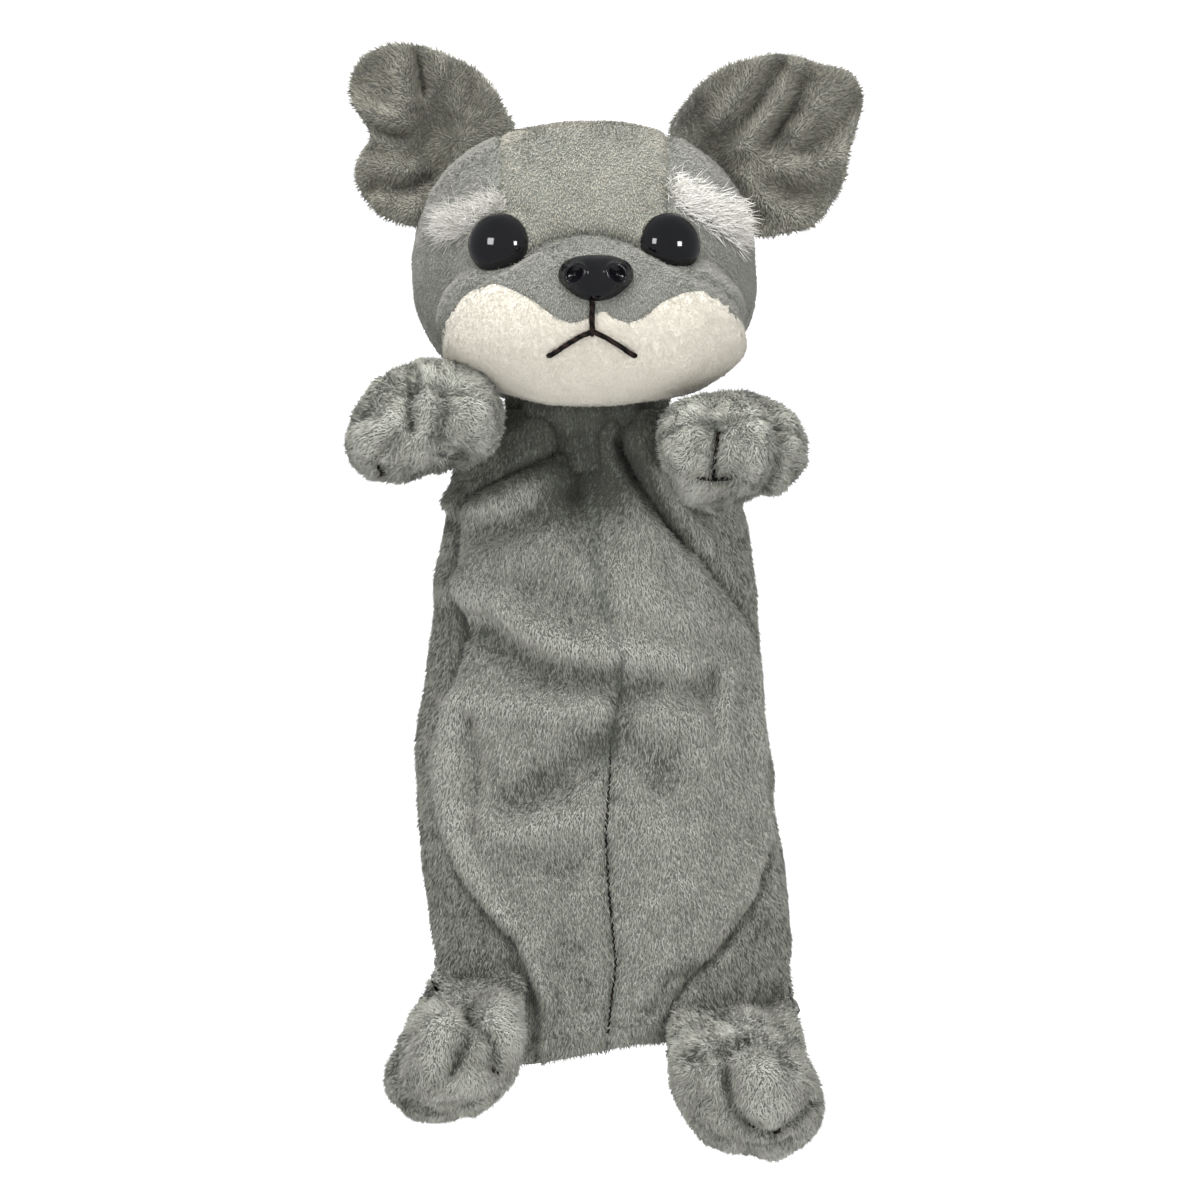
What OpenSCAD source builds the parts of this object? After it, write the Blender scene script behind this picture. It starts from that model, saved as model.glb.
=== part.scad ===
// Glove puppet of a small grey dog, sewn from short-pile plush. The head, arms and legs are stuffed,
// and the long body is an empty sleeve for the hand. Millimetres, +Z up. The puppet faces -Y, so its
// own left side is +X. The origin is the middle of the hem opening, where the hand goes in.

/* [Cloth] */
// Thickness of the plush with its pile pressed flat
cloth = 2; // [1.6:0.1:2.2]
// Space left between pieces that are sewn edge to edge
seam_gap = 0.3; // [0.2:0.1:0.4]
// Thickness of the thread in the stitches
thread = 1; // [0.8:0.1:1.2]

/* [Sleeve] */
// Height from the hem to the collar
sleeve_h = 178; // [175:1:180]
// Width at the widest place
sleeve_w = 104; // [100:1:106]
// Depth from belly to back with the hand out
sleeve_d = 46; // [44:1:50]
// Height of the cloth turned up inside the hem
hem_h = 7; // [5:0.5:7.5]

/* [Head] */
// Width of the head across the cheeks
head_w = 101; // [98:1:103]
// Height of the head without its muzzle
head_h = 82; // [80:1:84]
// Height of the head's middle above the hem
head_z = 232; // [231:0.5:234]
// How far the head sits towards the puppet's right
head_x = -4.6; // [-5:0.1:-4]
// Width of the muzzle over both cheeks
muzzle_w = 92; // [88:1:93]
// Thickness of the muzzle, from bridge to chin
muzzle_h = 47; // [45:0.5:48]

/* [Face] */
// Diameter of an eye
eye_d = 18; // [17:0.5:18.5]
// Distance between the middles of the eyes
eye_pitch = 50.3; // [49:0.1:51]
// Height of the eyes above the hem
eye_z = 238.5; // [238:0.5:239]
// Width of the nose
nose_w = 22; // [20:1:23]
// Radius of the posts that hold the eyes and the nose
post_r = 2; // [1.8:0.1:2.2]

/* [Ears] */
// Length of an ear from its fold to its tip
ear_len = 43; // [38:1:45]
// Width of an ear
ear_w = 50; // [44:1:52]

/* [Limbs] */
// Radius of the ball at the shoulder
shoulder_r = 13; // [12:0.5:13.5]
// Radius of a paw
paw_r = 17.5; // [16.5:0.5:18]
// Radius of the ball at the hip
hip_r = 15; // [14:0.5:15.5]
// Radius of a foot
foot_r = 21; // [20:0.5:22]

/* [Neck] */
// Radius of the stuffed ball that the head nods on
neck_r = 19; // [18:0.5:19.5]
// Radius of the tube that the head turns on
tube_r = 15; // [14:0.5:15.5]

/* [Hidden] */

$fn = 48;
grey = [0.52, 0.53, 0.51];
shade = [0.42, 0.43, 0.41];
white = [0.92, 0.91, 0.89];
fibre = [0.96, 0.96, 0.94];
black = [0.04, 0.04, 0.05];
brown = [0.12, 0.09, 0.08];

// Where the parts sit
head_c = [head_x, 2, head_z];
muzzle_c = [head_x + 2.6, -30, head_z - 17];
neck_c = [-4, 0, 196];
shoulder_left = [37, -18, 163];
paw_left = [39.5, -40, 177];
shoulder_right = [-39, -17, 164];
paw_right = [-54, -36, 182];
hip_left = [42, -22, 25];
foot_left = [44, -46.5, -8.5];
hip_right = [-38, -22, 25];
foot_right = [-42.5, -46, 1];

// The sleeve's outline: share of its height, then share of its half width and half depth, then the
// place of its middle in x
outline = [
    [0.00, 0.87, 0.87, 1], [0.17, 0.98, 0.94, 3.5], [0.42, 1.00, 1.00, -1], [0.67, 0.95, 1.00, -1],
    [0.81, 0.91, 0.96, -1], [0.89, 0.87, 0.92, -1.5], [0.95, 0.82, 0.86, -2], [1.00, 0.66, 0.78, -4]
];
function station(z, k) = lookup(z / sleeve_h, [for (row = outline) [row[0], row[k]]]);
function half_w(z) = sleeve_w / 2 * station(z, 1);
function half_d(z) = sleeve_d / 2 * station(z, 2);
function middle(z) = station(z, 3);

// The seams on the sleeve, as height and x: the middle of the belly and both its sides
belly_seam = [[0, 2], [30, 3.8], [55, 1.5], [98, 3.5], [110, 7], [137, 0], [178, -4]];
left_seam = [[0, 19], [16, 22], [28, 29], [43, 41], [57, 48], [98, 49], [122, 46], [137, 38], [178, 6]];
right_seam = [[0, -18], [31, -29], [46, -38], [69, -44], [98, -47], [156, -44], [178, -16]];
function seam_angle(z, seam) = asin(max(-0.98, min(0.98, (lookup(z, seam) - middle(z)) / half_w(z))));
function gap_angle(z) = seam_gap / 2 / half_w(z) * 180 / PI;

// A point of the sleeve: angle 0 is the front, 90 the puppet's left side, and off is outwards
function skin(z, angle, off) = [
    middle(z) + (half_w(z) + off) * sin(angle),
    -(half_d(z) + off) * cos(angle),
    z
];

// ---------------------------------------------------------------- shared shapes

// Closed slab between two equal grids of points, rows going up and columns to the left side
module slab(outer, inner) {
    rows = len(outer);
    cols = len(outer[0]);
    all_points = [for (g = [outer, inner], row = g, p = row) p];
    function o(i, j) = i * cols + j;
    function n(i, j) = (rows + i) * cols + j;
    quads = [
        for (i = [0 : rows - 2], j = [0 : cols - 2]) [o(i, j), o(i + 1, j), o(i + 1, j + 1), o(i, j + 1)],
        for (i = [0 : rows - 2], j = [0 : cols - 2]) [n(i, j), n(i, j + 1), n(i + 1, j + 1), n(i + 1, j)],
        for (j = [0 : cols - 2]) [o(0, j), o(0, j + 1), n(0, j + 1), n(0, j)],
        for (j = [0 : cols - 2]) [o(rows - 1, j + 1), o(rows - 1, j), n(rows - 1, j), n(rows - 1, j + 1)],
        for (i = [0 : rows - 2]) [o(i + 1, 0), o(i, 0), n(i, 0), n(i + 1, 0)],
        for (i = [0 : rows - 2]) [o(i, cols - 1), o(i + 1, cols - 1), n(i + 1, cols - 1), n(i, cols - 1)]
    ];
    polyhedron(all_points, [for (q = quads, k = [1, 2]) [q[0], q[k], q[k + 1]]]);
}

// Cloth on the sleeve between two heights and two seams, from off_in to off_out over the surface
module sleeve_patch(heights, from, to, cols, off_in, off_out) {
    function grid(off) = [
        for (i = [0 : len(heights) - 1]) [
            for (j = [0 : cols]) skin(heights[i], from[i] + (to[i] - from[i]) * j / cols, off)
        ]
    ];
    slab(grid(off_out), grid(off_in));
}

// Turns its child, a profile of [radius, x], about the x axis: 0 is the front, 90 the top
module about_x(from, to) {
    rotate([0, 90, 0]) rotate([0, 0, 270 - to]) rotate_extrude(angle = to - from) children();
}

// Fat oval, as a profile of [radius, x]
function oval(half_len, r, squareness = 2.3, steps = 14) = [
    for (i = [0 : steps]) let (a = 180 * i / steps) [
        r * pow(sin(a), 2 / squareness),
        -half_len * sign(cos(a)) * pow(abs(cos(a)), 2 / squareness)
    ]
];

module head_profile(inset) polygon(oval(head_w / 2 - inset, head_h / 2 - inset));
module muzzle_profile(inset) polygon(oval(muzzle_w / 2 - inset, muzzle_h / 2 - inset));
module head_solid(inset = 0) translate(head_c) about_x(0, 360) head_profile(inset);
module muzzle_solid(inset = 0) translate(muzzle_c) about_x(0, 360) muzzle_profile(inset);

// Lays the z axis of its child from a to b
module along(a, b) {
    d = b - a;
    translate(a) rotate([0, acos(d[2] / norm(d)), atan2(d[1], d[0])]) children();
}

// Profile of a limb: a small ball at the joint and a large one at the paw, in one smooth skin
function limb(r0, r1, len, steps = 7) =
    let (tilt = asin((r1 - r0) / len))
    [
        for (i = [0 : steps]) let (a = -90 + (90 - tilt) * i / steps) [r0 * cos(a), r0 * sin(a)],
        for (i = [0 : steps]) let (a = -tilt + (90 + tilt) * i / steps) [r1 * cos(a), len + r1 * sin(a)]
    ];

module limb_half(a, b, r0, r1, turn) {
    len = norm(b - a);
    along(a, b) rotate([0, 0, turn]) rotate_extrude(angle = 180) difference() {
        polygon(limb(r0, r1, len));
        polygon(limb(r0 - cloth, r1 - cloth, len));
    }
}

module limb_stuffing(a, b, r0, r1) {
    inset = cloth + seam_gap;
    along(a, b) rotate_extrude() polygon(limb(r0 - inset, r1 - inset, norm(b - a)));
}

// Two stitches pulled over the end of a paw or foot
module toe_stitches(a, b, r) {
    along(a, b) translate([0, 0, norm(b - a)]) for (lean = [-22, 22])
        rotate([lean, 0, 0]) rotate([90, 0, 0]) rotate([0, 0, 70])
            rotate_extrude(angle = 40) translate([r + 0.2 + thread / 2, 0]) circle(thread / 2, $fn = 16);
}

// ---------------------------------------------------------------- sleeve

rows = 14;
heights = [for (i = [0 : rows]) sleeve_h * i / rows];
left_edge = [for (z = heights) seam_angle(z, left_seam)];
right_edge = [for (z = heights) seam_angle(z, right_seam)];
centre = [for (z = heights) seam_angle(z, belly_seam)];
gaps = [for (z = heights) gap_angle(z)];
back = [for (z = heights) 180];

// The limbs join the sleeve through round holes, which leave the legs room to swing down
leg_drop = 10;
leg_room = 2.8;
module leg_hole(a, b) {
    len = norm(b - a);
    translate(a) rotate([leg_drop / 2, 0, 0]) along([0, 0, 0], b - a) rotate_extrude()
        polygon(limb(hip_r + leg_room, foot_r + leg_room, len, 3));
}

module limb_holes() {
    for (c = [shoulder_left, shoulder_right]) translate(c) sphere(shoulder_r + 2 * seam_gap);
    leg_hole(hip_left, foot_left);
    leg_hole(hip_right, foot_right);
}

module belly_panel_left() color(grey) difference() {
    sleeve_patch(heights, centre + gaps, left_edge - gaps, 8, -cloth, 0);
    limb_holes();
}

module belly_panel_right() color(grey) difference() {
    sleeve_patch(heights, right_edge + gaps, centre - gaps, 8, -cloth, 0);
    limb_holes();
}

module back_panel_left() color(shade) difference() {
    sleeve_patch(heights, left_edge + gaps, back - gaps, 9, -cloth, 0);
    limb_holes();
}

module back_panel_right() color(shade) difference() {
    sleeve_patch(heights, gaps - back, right_edge - gaps, 9, -cloth, 0);
    limb_holes();
}

module belly_seam_stitches() color(shade)
    for (z = [10 : 8 : sleeve_h - 20]) {
        span = [z, z + 4];
        mid = [for (h = span) seam_angle(h, belly_seam)];
        w = [for (h = span) gap_angle(h) * 3];
        sleeve_patch(span, mid - w, mid + w, 1, 0.1, 0.1 + thread / 2);
    }

module hem_band() color(shade) difference() {
    sleeve_patch([0.5, hem_h], [-179.5, -179.5], [179.5, 179.5], 36, -2 * cloth - 0.5, -cloth - 0.5);
    limb_holes();
}

// The stitches run all round but for the two places where the legs lie over the hem
module hem_stitches() color(shade)
    for (angle = [-172 : 8 : 172])
        if (abs(angle) < 16 || abs(angle) > 72)
            sleeve_patch([hem_h - 2, hem_h - 1], [angle, angle], [angle + 4, angle + 4], 1,
                         0.1, 0.1 + thread / 2);

// ---------------------------------------------------------------- neck

// Tube for two fingers, ending in a ball inside the foot of the head
module neck_sleeve() color(shade) translate(neck_c) rotate_extrude() difference() {
    union() {
        intersection() {
            circle(neck_r);
            translate([0, -neck_r]) square([neck_r, 2 * neck_r]);
        }
        translate([0, -24]) square([tube_r, 20]);
    }
    intersection() {
        circle(neck_r - cloth);
        translate([0, -12]) square([neck_r, 40]);
    }
    translate([0, -30]) square([tube_r - cloth, 60]);
}

module neck_hole() translate(neck_c) sphere(neck_r + 2 * seam_gap);

// ---------------------------------------------------------------- head

// Cloth of the head between two places in x and two angles about the x axis
module head_patch(x0, x1, from, to) translate(head_c) about_x(from, to) intersection() {
    difference() {
        head_profile(0);
        head_profile(cloth);
    }
    translate([0, x0]) square([head_h, x1 - x0]);
}

// Half width of the gusset over the forehead, and the angle of the seam behind the ears
gusset = 24.6;
ear_seam = 130;

module crown_panel() color(grey) difference() {
    head_patch(-gusset, gusset, 0, ear_seam);
    muzzle_solid(-seam_gap);
    eye_posts(post_r + 0.2);
}

module face_side(x0, x1) difference() {
    head_patch(x0, x1, -62, ear_seam);
    muzzle_solid(-seam_gap);
    eye_posts(post_r + 0.2);
}

module head_back(x0, x1) difference() {
    head_patch(x0, x1, ear_seam, 298);
    muzzle_solid(-seam_gap);
    neck_hole();
}

module face_side_left() color(grey) face_side(gusset, head_w);
module face_side_right() color(grey) face_side(-head_w, -gusset);
module head_back_left() color(shade) head_back(0, head_w);
module head_back_right() color(shade) head_back(-head_w, 0);

// The grey bridge under the nose, seen from the front
module bridge_outline() {
    low = muzzle_c[2] + 0.5;
    rotate([90, 0, 0]) linear_extrude(100) polygon([
        [-31, low + 15], [-22, low + 8], [-11, low + 2], [-2, low], [8, low + 1], [18, low + 5],
        [29, low + 12], [29, low + 50], [-31, low + 50]
    ]);
}

module muzzle_shell() difference() {
    muzzle_solid(0);
    muzzle_solid(cloth);
    head_solid(0);
    nose_frame() cylinder(r = post_r + 0.2, h = 30, center = true);
    eye_pockets(eye_d / 2 + seam_gap);
}

module muzzle_bridge() color(grey) intersection() {
    muzzle_shell();
    bridge_outline();
}

module muzzle_chin() color(white) difference() {
    muzzle_shell();
    bridge_outline();
    neck_hole();
}

pocket_r = 13;
pocket_h = 38;
lining = 1.4;
module finger_pocket_shape(r, h) rotate_extrude() {
    square([r, h - r]);
    translate([0, h - r]) intersection() {
        circle(r);
        square(r);
    }
}

// Closed tube that takes the fingertips, of thin lining cloth
module finger_pocket() color(fibre) translate(neck_c + [0, 0, neck_r + 2]) difference() {
    finger_pocket_shape(pocket_r, pocket_h);
    translate([0, 0, -1]) finger_pocket_shape(pocket_r - lining, pocket_h + 1 - lining);
}

module head_stuffing() color(fibre) difference() {
    union() {
        head_solid(cloth + seam_gap);
        difference() {
            muzzle_solid(cloth + seam_gap);
            nose_frame() translate([0, 0, -post_room]) cylinder(r = washer_r + 0.6, h = 20);
        }
    }
    eye_pockets(eye_d / 2 + seam_gap);
    translate(neck_c) sphere(neck_r + 1.5);
    translate(neck_c) cylinder(r = pocket_r + seam_gap, h = neck_r + pocket_h + 2.4);
}

// ---------------------------------------------------------------- eyes, nose and thread

// Length of the posts behind the cloth, with the room cut for them in the filling, and their washers
post_len = 8.5;
post_room = post_len + 1;
washer_r = 8;
washer_t = 1.2;

// How far the eyes sit in front of the middle of the head, and the nose from the middle of the muzzle
eye_out = 37.9;
nose_out = [19.6, 13.6];

// The frame of an eye: its z axis points out of the face
module eye_frame(side) {
    out = [side * 0.3, -1, 0.16];
    place = [head_x + side * eye_pitch / 2, head_c[1] - eye_out, eye_z];
    along(place, place + out) children();
}

module nose_frame() {
    place = muzzle_c + [0, -nose_out[0], nose_out[1]];
    along(place, place + [0, -1, 0.62]) rotate([0, 0, 90]) children();
}

module eye_posts(r) for (side = [-1, 1]) eye_frame(side) cylinder(r = r, h = 30, center = true);

// Room for an eye with its post and washer
module eye_pockets(r) for (side = [-1, 1]) eye_frame(side) translate([0, 0, -post_room]) cylinder(r = r, h = 20);

// Domed plastic eye on a post that goes through the cloth
module eye(side) color(black) eye_frame(side) union() {
    intersection() {
        translate([0, 0, -4]) sphere(norm([eye_d / 2, 4]));
        cylinder(r = eye_d / 2, h = 10);
    }
    translate([0, 0, -post_len]) cylinder(r = post_r, h = post_len + 0.5);
}

module washer() translate([0, 0, -6.4]) difference() {
    cylinder(r = washer_r, h = washer_t);
    translate([0, 0, -1]) cylinder(r = post_r + 0.05, h = washer_t + 2);
}

module eye_left() eye(1);
module eye_right() eye(-1);
module eye_washer_left() color(fibre) eye_frame(1) washer();
module eye_washer_right() color(fibre) eye_frame(-1) washer();

// Moulded nose, wide at the top, on the same post
module nose() color(black) nose_frame() union() {
    intersection() {
        hull($fn = 24) {
            for (side = [-1, 1]) translate([side * (nose_w / 2 - 5), 2.5, 0]) sphere(5);
            translate([0, -3.4, 0]) sphere(4.2);
        }
        translate([0, 0, 6]) cube([40, 40, 12], center = true);
    }
    translate([0, 0, -post_len]) cylinder(r = post_r, h = post_len + 0.5);
}

module nose_washer() color(fibre) nose_frame() washer();

// Tuft of long white pile, shown as the pad that it fills
module brow(x0, x1) color(white) translate(head_c) about_x(28, 40) intersection() {
    difference() {
        head_profile(-3);
        head_profile(-seam_gap);
    }
    translate([0, x0]) square([head_h, x1 - x0]);
}

module brow_left() brow(22, 45);
module brow_right() brow(-45, -22);

// Stroke of thread on the face, seen from the front, between two points of [x, z]
module stroke(a, b) {
    d = b - a;
    translate([a[0], -20, a[1]]) rotate([0, -atan2(d[1], d[0]), 0])
        translate([-thread / 2, -60, -thread / 2]) cube([norm(d) + thread, 60, thread]);
}

module mouth_stitches() color(brown) intersection() {
    difference() {
        muzzle_solid(-0.2 - thread);
        muzzle_solid(-0.2);
    }
    union() {
        x = muzzle_c[0] - 0.8;
        fork = [x, muzzle_c[2] - 3.2];
        stroke([x, muzzle_c[2] + 4], fork);
        stroke(fork, fork + [-12.5, -6.2]);
        stroke(fork, fork + [12.5, -6.2]);
    }
}

// ---------------------------------------------------------------- ears

// The frame of an ear: x runs up its fold and z out towards its tip
ear_root = [[-36.5, 258.5], [33.5, 258]];
ear_lean = 50;
ear_off = 9.2; // from the root inside the head to the fold
module ear_frame(side) {
    p = ear_root[side > 0 ? 1 : 0];
    translate([p[0], head_c[1], p[1]]) rotate([0, side * ear_lean, 0]) translate([0, 0, ear_off])
        scale([side, 1, 1]) children();
}

// One layer of an ear, from y0 to y1 through its thickness
module ear(side, y0, y1) {
    w = ear_w / 2;
    ear_frame(side) translate([0, y1, 0]) rotate([90, 0, 0]) linear_extrude(y1 - y0) polygon([
        [0.84 * w, 0], [1.06 * w, 0.2 * ear_len], [1.08 * w, 0.4 * ear_len], [0.92 * w, 0.66 * ear_len],
        [0.5 * w, 0.9 * ear_len], [0, ear_len], [-0.34 * w, 0.96 * ear_len], [-0.62 * w, 0.8 * ear_len],
        [-0.84 * w, 0.5 * ear_len], [-0.9 * w, 0.2 * ear_len], [-0.8 * w, 0]
    ]);
}

module ear_left_front() color(shade) ear(1, -cloth, 0);
module ear_left_back() color(shade) ear(1, 0, cloth);
module ear_right_front() color(shade) ear(-1, -cloth, 0);
module ear_right_back() color(shade) ear(-1, 0, cloth);

// ---------------------------------------------------------------- arms and legs

module arm_left_palm() color(grey) limb_half(shoulder_left, paw_left, shoulder_r, paw_r, 270);
module arm_left_back() color(shade) limb_half(shoulder_left, paw_left, shoulder_r, paw_r, 90);
module arm_left_stuffing() color(fibre) limb_stuffing(shoulder_left, paw_left, shoulder_r, paw_r);
module paw_left_stitches() color(brown) toe_stitches(shoulder_left, paw_left, paw_r);

module arm_right_palm() color(grey) limb_half(shoulder_right, paw_right, shoulder_r, paw_r, 270);
module arm_right_back() color(shade) limb_half(shoulder_right, paw_right, shoulder_r, paw_r, 90);
module arm_right_stuffing() color(fibre) limb_stuffing(shoulder_right, paw_right, shoulder_r, paw_r);
module paw_right_stitches() color(brown) toe_stitches(shoulder_right, paw_right, paw_r);

module leg_left_top() color(grey) limb_half(hip_left, foot_left, hip_r, foot_r, 90);
module leg_left_sole() color(shade) limb_half(hip_left, foot_left, hip_r, foot_r, 270);
module leg_left_stuffing() color(fibre) limb_stuffing(hip_left, foot_left, hip_r, foot_r);
module foot_left_stitches() color(brown) toe_stitches(hip_left, foot_left, foot_r);

module leg_right_top() color(grey) limb_half(hip_right, foot_right, hip_r, foot_r, 90);
module leg_right_sole() color(shade) limb_half(hip_right, foot_right, hip_r, foot_r, 270);
module leg_right_stuffing() color(fibre) limb_stuffing(hip_right, foot_right, hip_r, foot_r);
module foot_right_stitches() color(brown) toe_stitches(hip_right, foot_right, foot_r);

// ---------------------------------------------------------------- drawing

belly_panel_left();
belly_panel_right();
back_panel_left();
back_panel_right();
belly_seam_stitches();
hem_band();
hem_stitches();
neck_sleeve();
crown_panel();
face_side_left();
face_side_right();
head_back_left();
head_back_right();
muzzle_bridge();
muzzle_chin();
head_stuffing();
finger_pocket();
eye_left();
eye_right();
eye_washer_left();
eye_washer_right();
nose();
nose_washer();
brow_left();
brow_right();
mouth_stitches();
ear_left_front();
ear_left_back();
ear_right_front();
ear_right_back();
arm_left_palm();
arm_left_back();
arm_left_stuffing();
paw_left_stitches();
arm_right_palm();
arm_right_back();
arm_right_stuffing();
paw_right_stitches();
leg_left_top();
leg_left_sole();
leg_left_stuffing();
foot_left_stitches();
leg_right_top();
leg_right_sole();
leg_right_stuffing();
foot_right_stitches();
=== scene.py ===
"""The looks of a grey plush glove puppet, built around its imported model.

The cloth is worked out in millimetres, with +Z up, the puppet facing -Y and its own left side at +X,
and each finished mesh is stored in metres.
"""

import math

import bmesh
import bpy
import numpy as np
from mathutils import Matrix, Vector
from mathutils.bvhtree import BVHTree


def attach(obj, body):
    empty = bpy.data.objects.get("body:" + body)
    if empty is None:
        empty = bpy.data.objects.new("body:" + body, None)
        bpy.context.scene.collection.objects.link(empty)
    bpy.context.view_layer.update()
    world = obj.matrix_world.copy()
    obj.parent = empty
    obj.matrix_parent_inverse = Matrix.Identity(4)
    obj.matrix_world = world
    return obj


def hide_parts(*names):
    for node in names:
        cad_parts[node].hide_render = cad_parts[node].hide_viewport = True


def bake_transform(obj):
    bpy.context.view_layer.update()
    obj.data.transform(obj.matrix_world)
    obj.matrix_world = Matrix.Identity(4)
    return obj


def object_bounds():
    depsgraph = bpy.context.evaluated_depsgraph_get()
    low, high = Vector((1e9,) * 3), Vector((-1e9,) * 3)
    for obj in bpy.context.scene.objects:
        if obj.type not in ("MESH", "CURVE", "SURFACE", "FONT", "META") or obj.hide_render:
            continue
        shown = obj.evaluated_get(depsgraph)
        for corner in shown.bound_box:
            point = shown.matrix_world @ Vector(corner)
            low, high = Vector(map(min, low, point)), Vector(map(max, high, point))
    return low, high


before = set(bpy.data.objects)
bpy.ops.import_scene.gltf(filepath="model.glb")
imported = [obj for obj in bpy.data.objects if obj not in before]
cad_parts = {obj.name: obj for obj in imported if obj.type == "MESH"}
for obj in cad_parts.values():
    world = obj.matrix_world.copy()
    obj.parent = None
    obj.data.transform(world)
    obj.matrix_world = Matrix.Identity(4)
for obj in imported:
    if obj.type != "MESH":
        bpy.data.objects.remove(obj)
cad_box = [list(corner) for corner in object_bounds()]

MM = 0.001
CLOTH = 2.0  # thickness of the plush without its pile
SURFACES = {}  # finished surfaces, for the threads that lie on them


# ---------------------------------------------------------------- numbers and lines


def unit(v):
    """Vectors of length 1."""
    return v / np.maximum(np.linalg.norm(v, axis=-1, keepdims=True), 1e-9)


def soft_step(t):
    """0 below 0 and 1 above 1, with a smooth rise between."""
    t = np.clip(t, 0, 1)
    return t * t * (3 - 2 * t)


def hump(away, width):
    """1 where away is 0, dying out over the width on both sides."""
    return np.exp(-((away / width) ** 2))


def laid_on(ways, normals):
    """Ways turned to lie flat on a surface with these normals."""
    return unit(ways - normals * np.sum(ways * normals, axis=1, keepdims=True))


def track(at, table, spread, column=1):
    """A value read from a table of rows, rounded off over the spread."""
    rows = np.array(table, float)
    read = [np.interp(at + step, rows[:, 0], rows[:, column]) for step in (-spread, 0, 0, spread)]
    return sum(read) / 4


def wander(points, size, seed):
    """Smooth unevenness from about -1 to 1, over lengths of about size."""
    draw = np.random.default_rng(seed)
    total = np.zeros(len(points))
    for _ in range(6):
        way = unit(draw.normal(size=3)) * 2 * math.pi / size * draw.uniform(0.6, 1.5)
        total += np.sin(points @ way + draw.uniform(0, 6.3))
    return total / 3


def line_distance(flat, line):
    """How far each point of (x, z) is from a line through several points."""
    line = np.array(line, float)
    best = np.full(len(flat), 1e9)
    for a, b in zip(line[:-1], line[1:]):
        run = b - a
        t = np.clip((flat - a) @ run / max(run @ run, 1e-9), 0, 1)
        best = np.minimum(best, np.linalg.norm(flat - a - t[:, None] * run, axis=1))
    return best


def outline_field(flat, outline):
    """Distance to a closed outline, below 0 inside it."""
    shape = np.array(outline, float)
    inside = np.zeros(len(flat), bool)
    for a, b in zip(shape, np.roll(shape, -1, axis=0)):
        over = (a[1] > flat[:, 1]) != (b[1] > flat[:, 1])
        cross = a[0] + (flat[:, 1] - a[1]) * (b[0] - a[0]) / (b[1] - a[1] + 1e-12)
        inside ^= over & (flat[:, 0] < cross)
    away = line_distance(flat, list(shape) + [shape[0]])
    return np.where(inside, -away, away)


def strokes_height(flat, strokes):
    """Height of soft ridges, or hollows where it is below 0: each has its height, width and line."""
    total = np.zeros(len(flat))
    for height, width, *line in strokes:
        line = line if len(line) > 1 else [line[0], line[0]]
        total += height * hump(line_distance(flat, line), width)
    return total


def outline_reach(outline, centre):
    """A function that gives how far an outline is from a centre at any angle."""
    out = np.array(outline, float) - centre
    angle, reach = np.arctan2(out[:, 1], out[:, 0]), np.hypot(out[:, 0], out[:, 1])
    order = np.argsort(angle)

    def at(a):
        steps = [np.interp(a + s, angle[order], reach[order], period=2 * math.pi) for s in (-0.07, 0, 0.07)]
        return sum(steps) / 3

    return at


# ---------------------------------------------------------------- meshes


def points_of(bm):
    return np.array([v.co[:] for v in bm.verts])


def move_to(bm, points):
    for v, p in zip(bm.verts, points):
        v.co = p


def normals_of(bm):
    bm.normal_update()
    return np.array([v.normal[:] for v in bm.verts])


def new_ball(fineness):
    bm = bmesh.new()
    bmesh.ops.create_icosphere(bm, subdivisions=fineness, radius=1)
    return bm


def cut_along(bm, field):
    """Cuts the faces along the line where the field is 0, so that a seam can run there."""
    height = dict(zip(bm.verts, field(points_of(bm))))
    on_line = {v for v, h in height.items() if abs(h) < 0.12}
    for edge in [e for e in bm.edges if height[e.verts[0]] * height[e.verts[1]] < 0]:
        a, b = edge.verts
        if a not in on_line and b not in on_line:
            on_line.add(bmesh.utils.edge_split(edge, a, height[a] / (height[a] - height[b]))[1])
    bmesh.ops.connect_verts(bm, verts=list(on_line))
    bmesh.ops.triangulate(bm, faces=[f for f in bm.faces if len(f.verts) > 4])


def face_along(bm, outward):
    """Turns an open sheet's faces so that most of them look along outward(middle of the face)."""
    bmesh.ops.recalc_face_normals(bm, faces=bm.faces)
    if sum(f.normal.dot(outward(f.calc_center_median())) for f in bm.faces) < 0:
        bmesh.ops.reverse_faces(bm, faces=bm.faces)


def part_of(bm, keep):
    """A copy that has only the faces whose middles keep() is true for."""
    bm.faces.ensure_lookup_table()
    middles = np.array([f.calc_center_median()[:] for f in bm.faces])
    kept = keep(middles)
    copy = bm.copy()
    copy.faces.ensure_lookup_table()
    bmesh.ops.delete(copy, geom=[f for f, k in zip(copy.faces, kept) if not k], context="FACES")
    return copy


def new_object(name, mesh):
    obj = bpy.data.objects.new(name, mesh)
    bpy.context.scene.collection.objects.link(obj)
    return obj


def object_from(bm, name, materials):
    """An object in metres from a mesh in millimetres."""
    mesh = bpy.data.meshes.new(name)
    bm.to_mesh(mesh)
    mesh.transform(Matrix.Scale(MM, 4))
    mesh.shade_smooth()
    for material in materials:
        mesh.materials.append(material)
    return new_object(name, mesh)


def keep_shape(obj):
    """Makes the result of an object's modifiers its own mesh."""
    graph = bpy.context.evaluated_depsgraph_get()
    mesh = bpy.data.meshes.new_from_object(obj.evaluated_get(graph))
    obj.modifiers.clear()
    obj.data = mesh
    return obj


def note(mesh, name, values, kind="FLOAT"):
    """Stores a value for each point of a mesh."""
    slot = mesh.attributes.new(name, kind, "POINT")
    values = np.asarray(values, np.float32)
    slot.data.foreach_set("vector" if kind == "FLOAT_VECTOR" else "value", values.ravel())


# ---------------------------------------------------------------- materials


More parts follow.
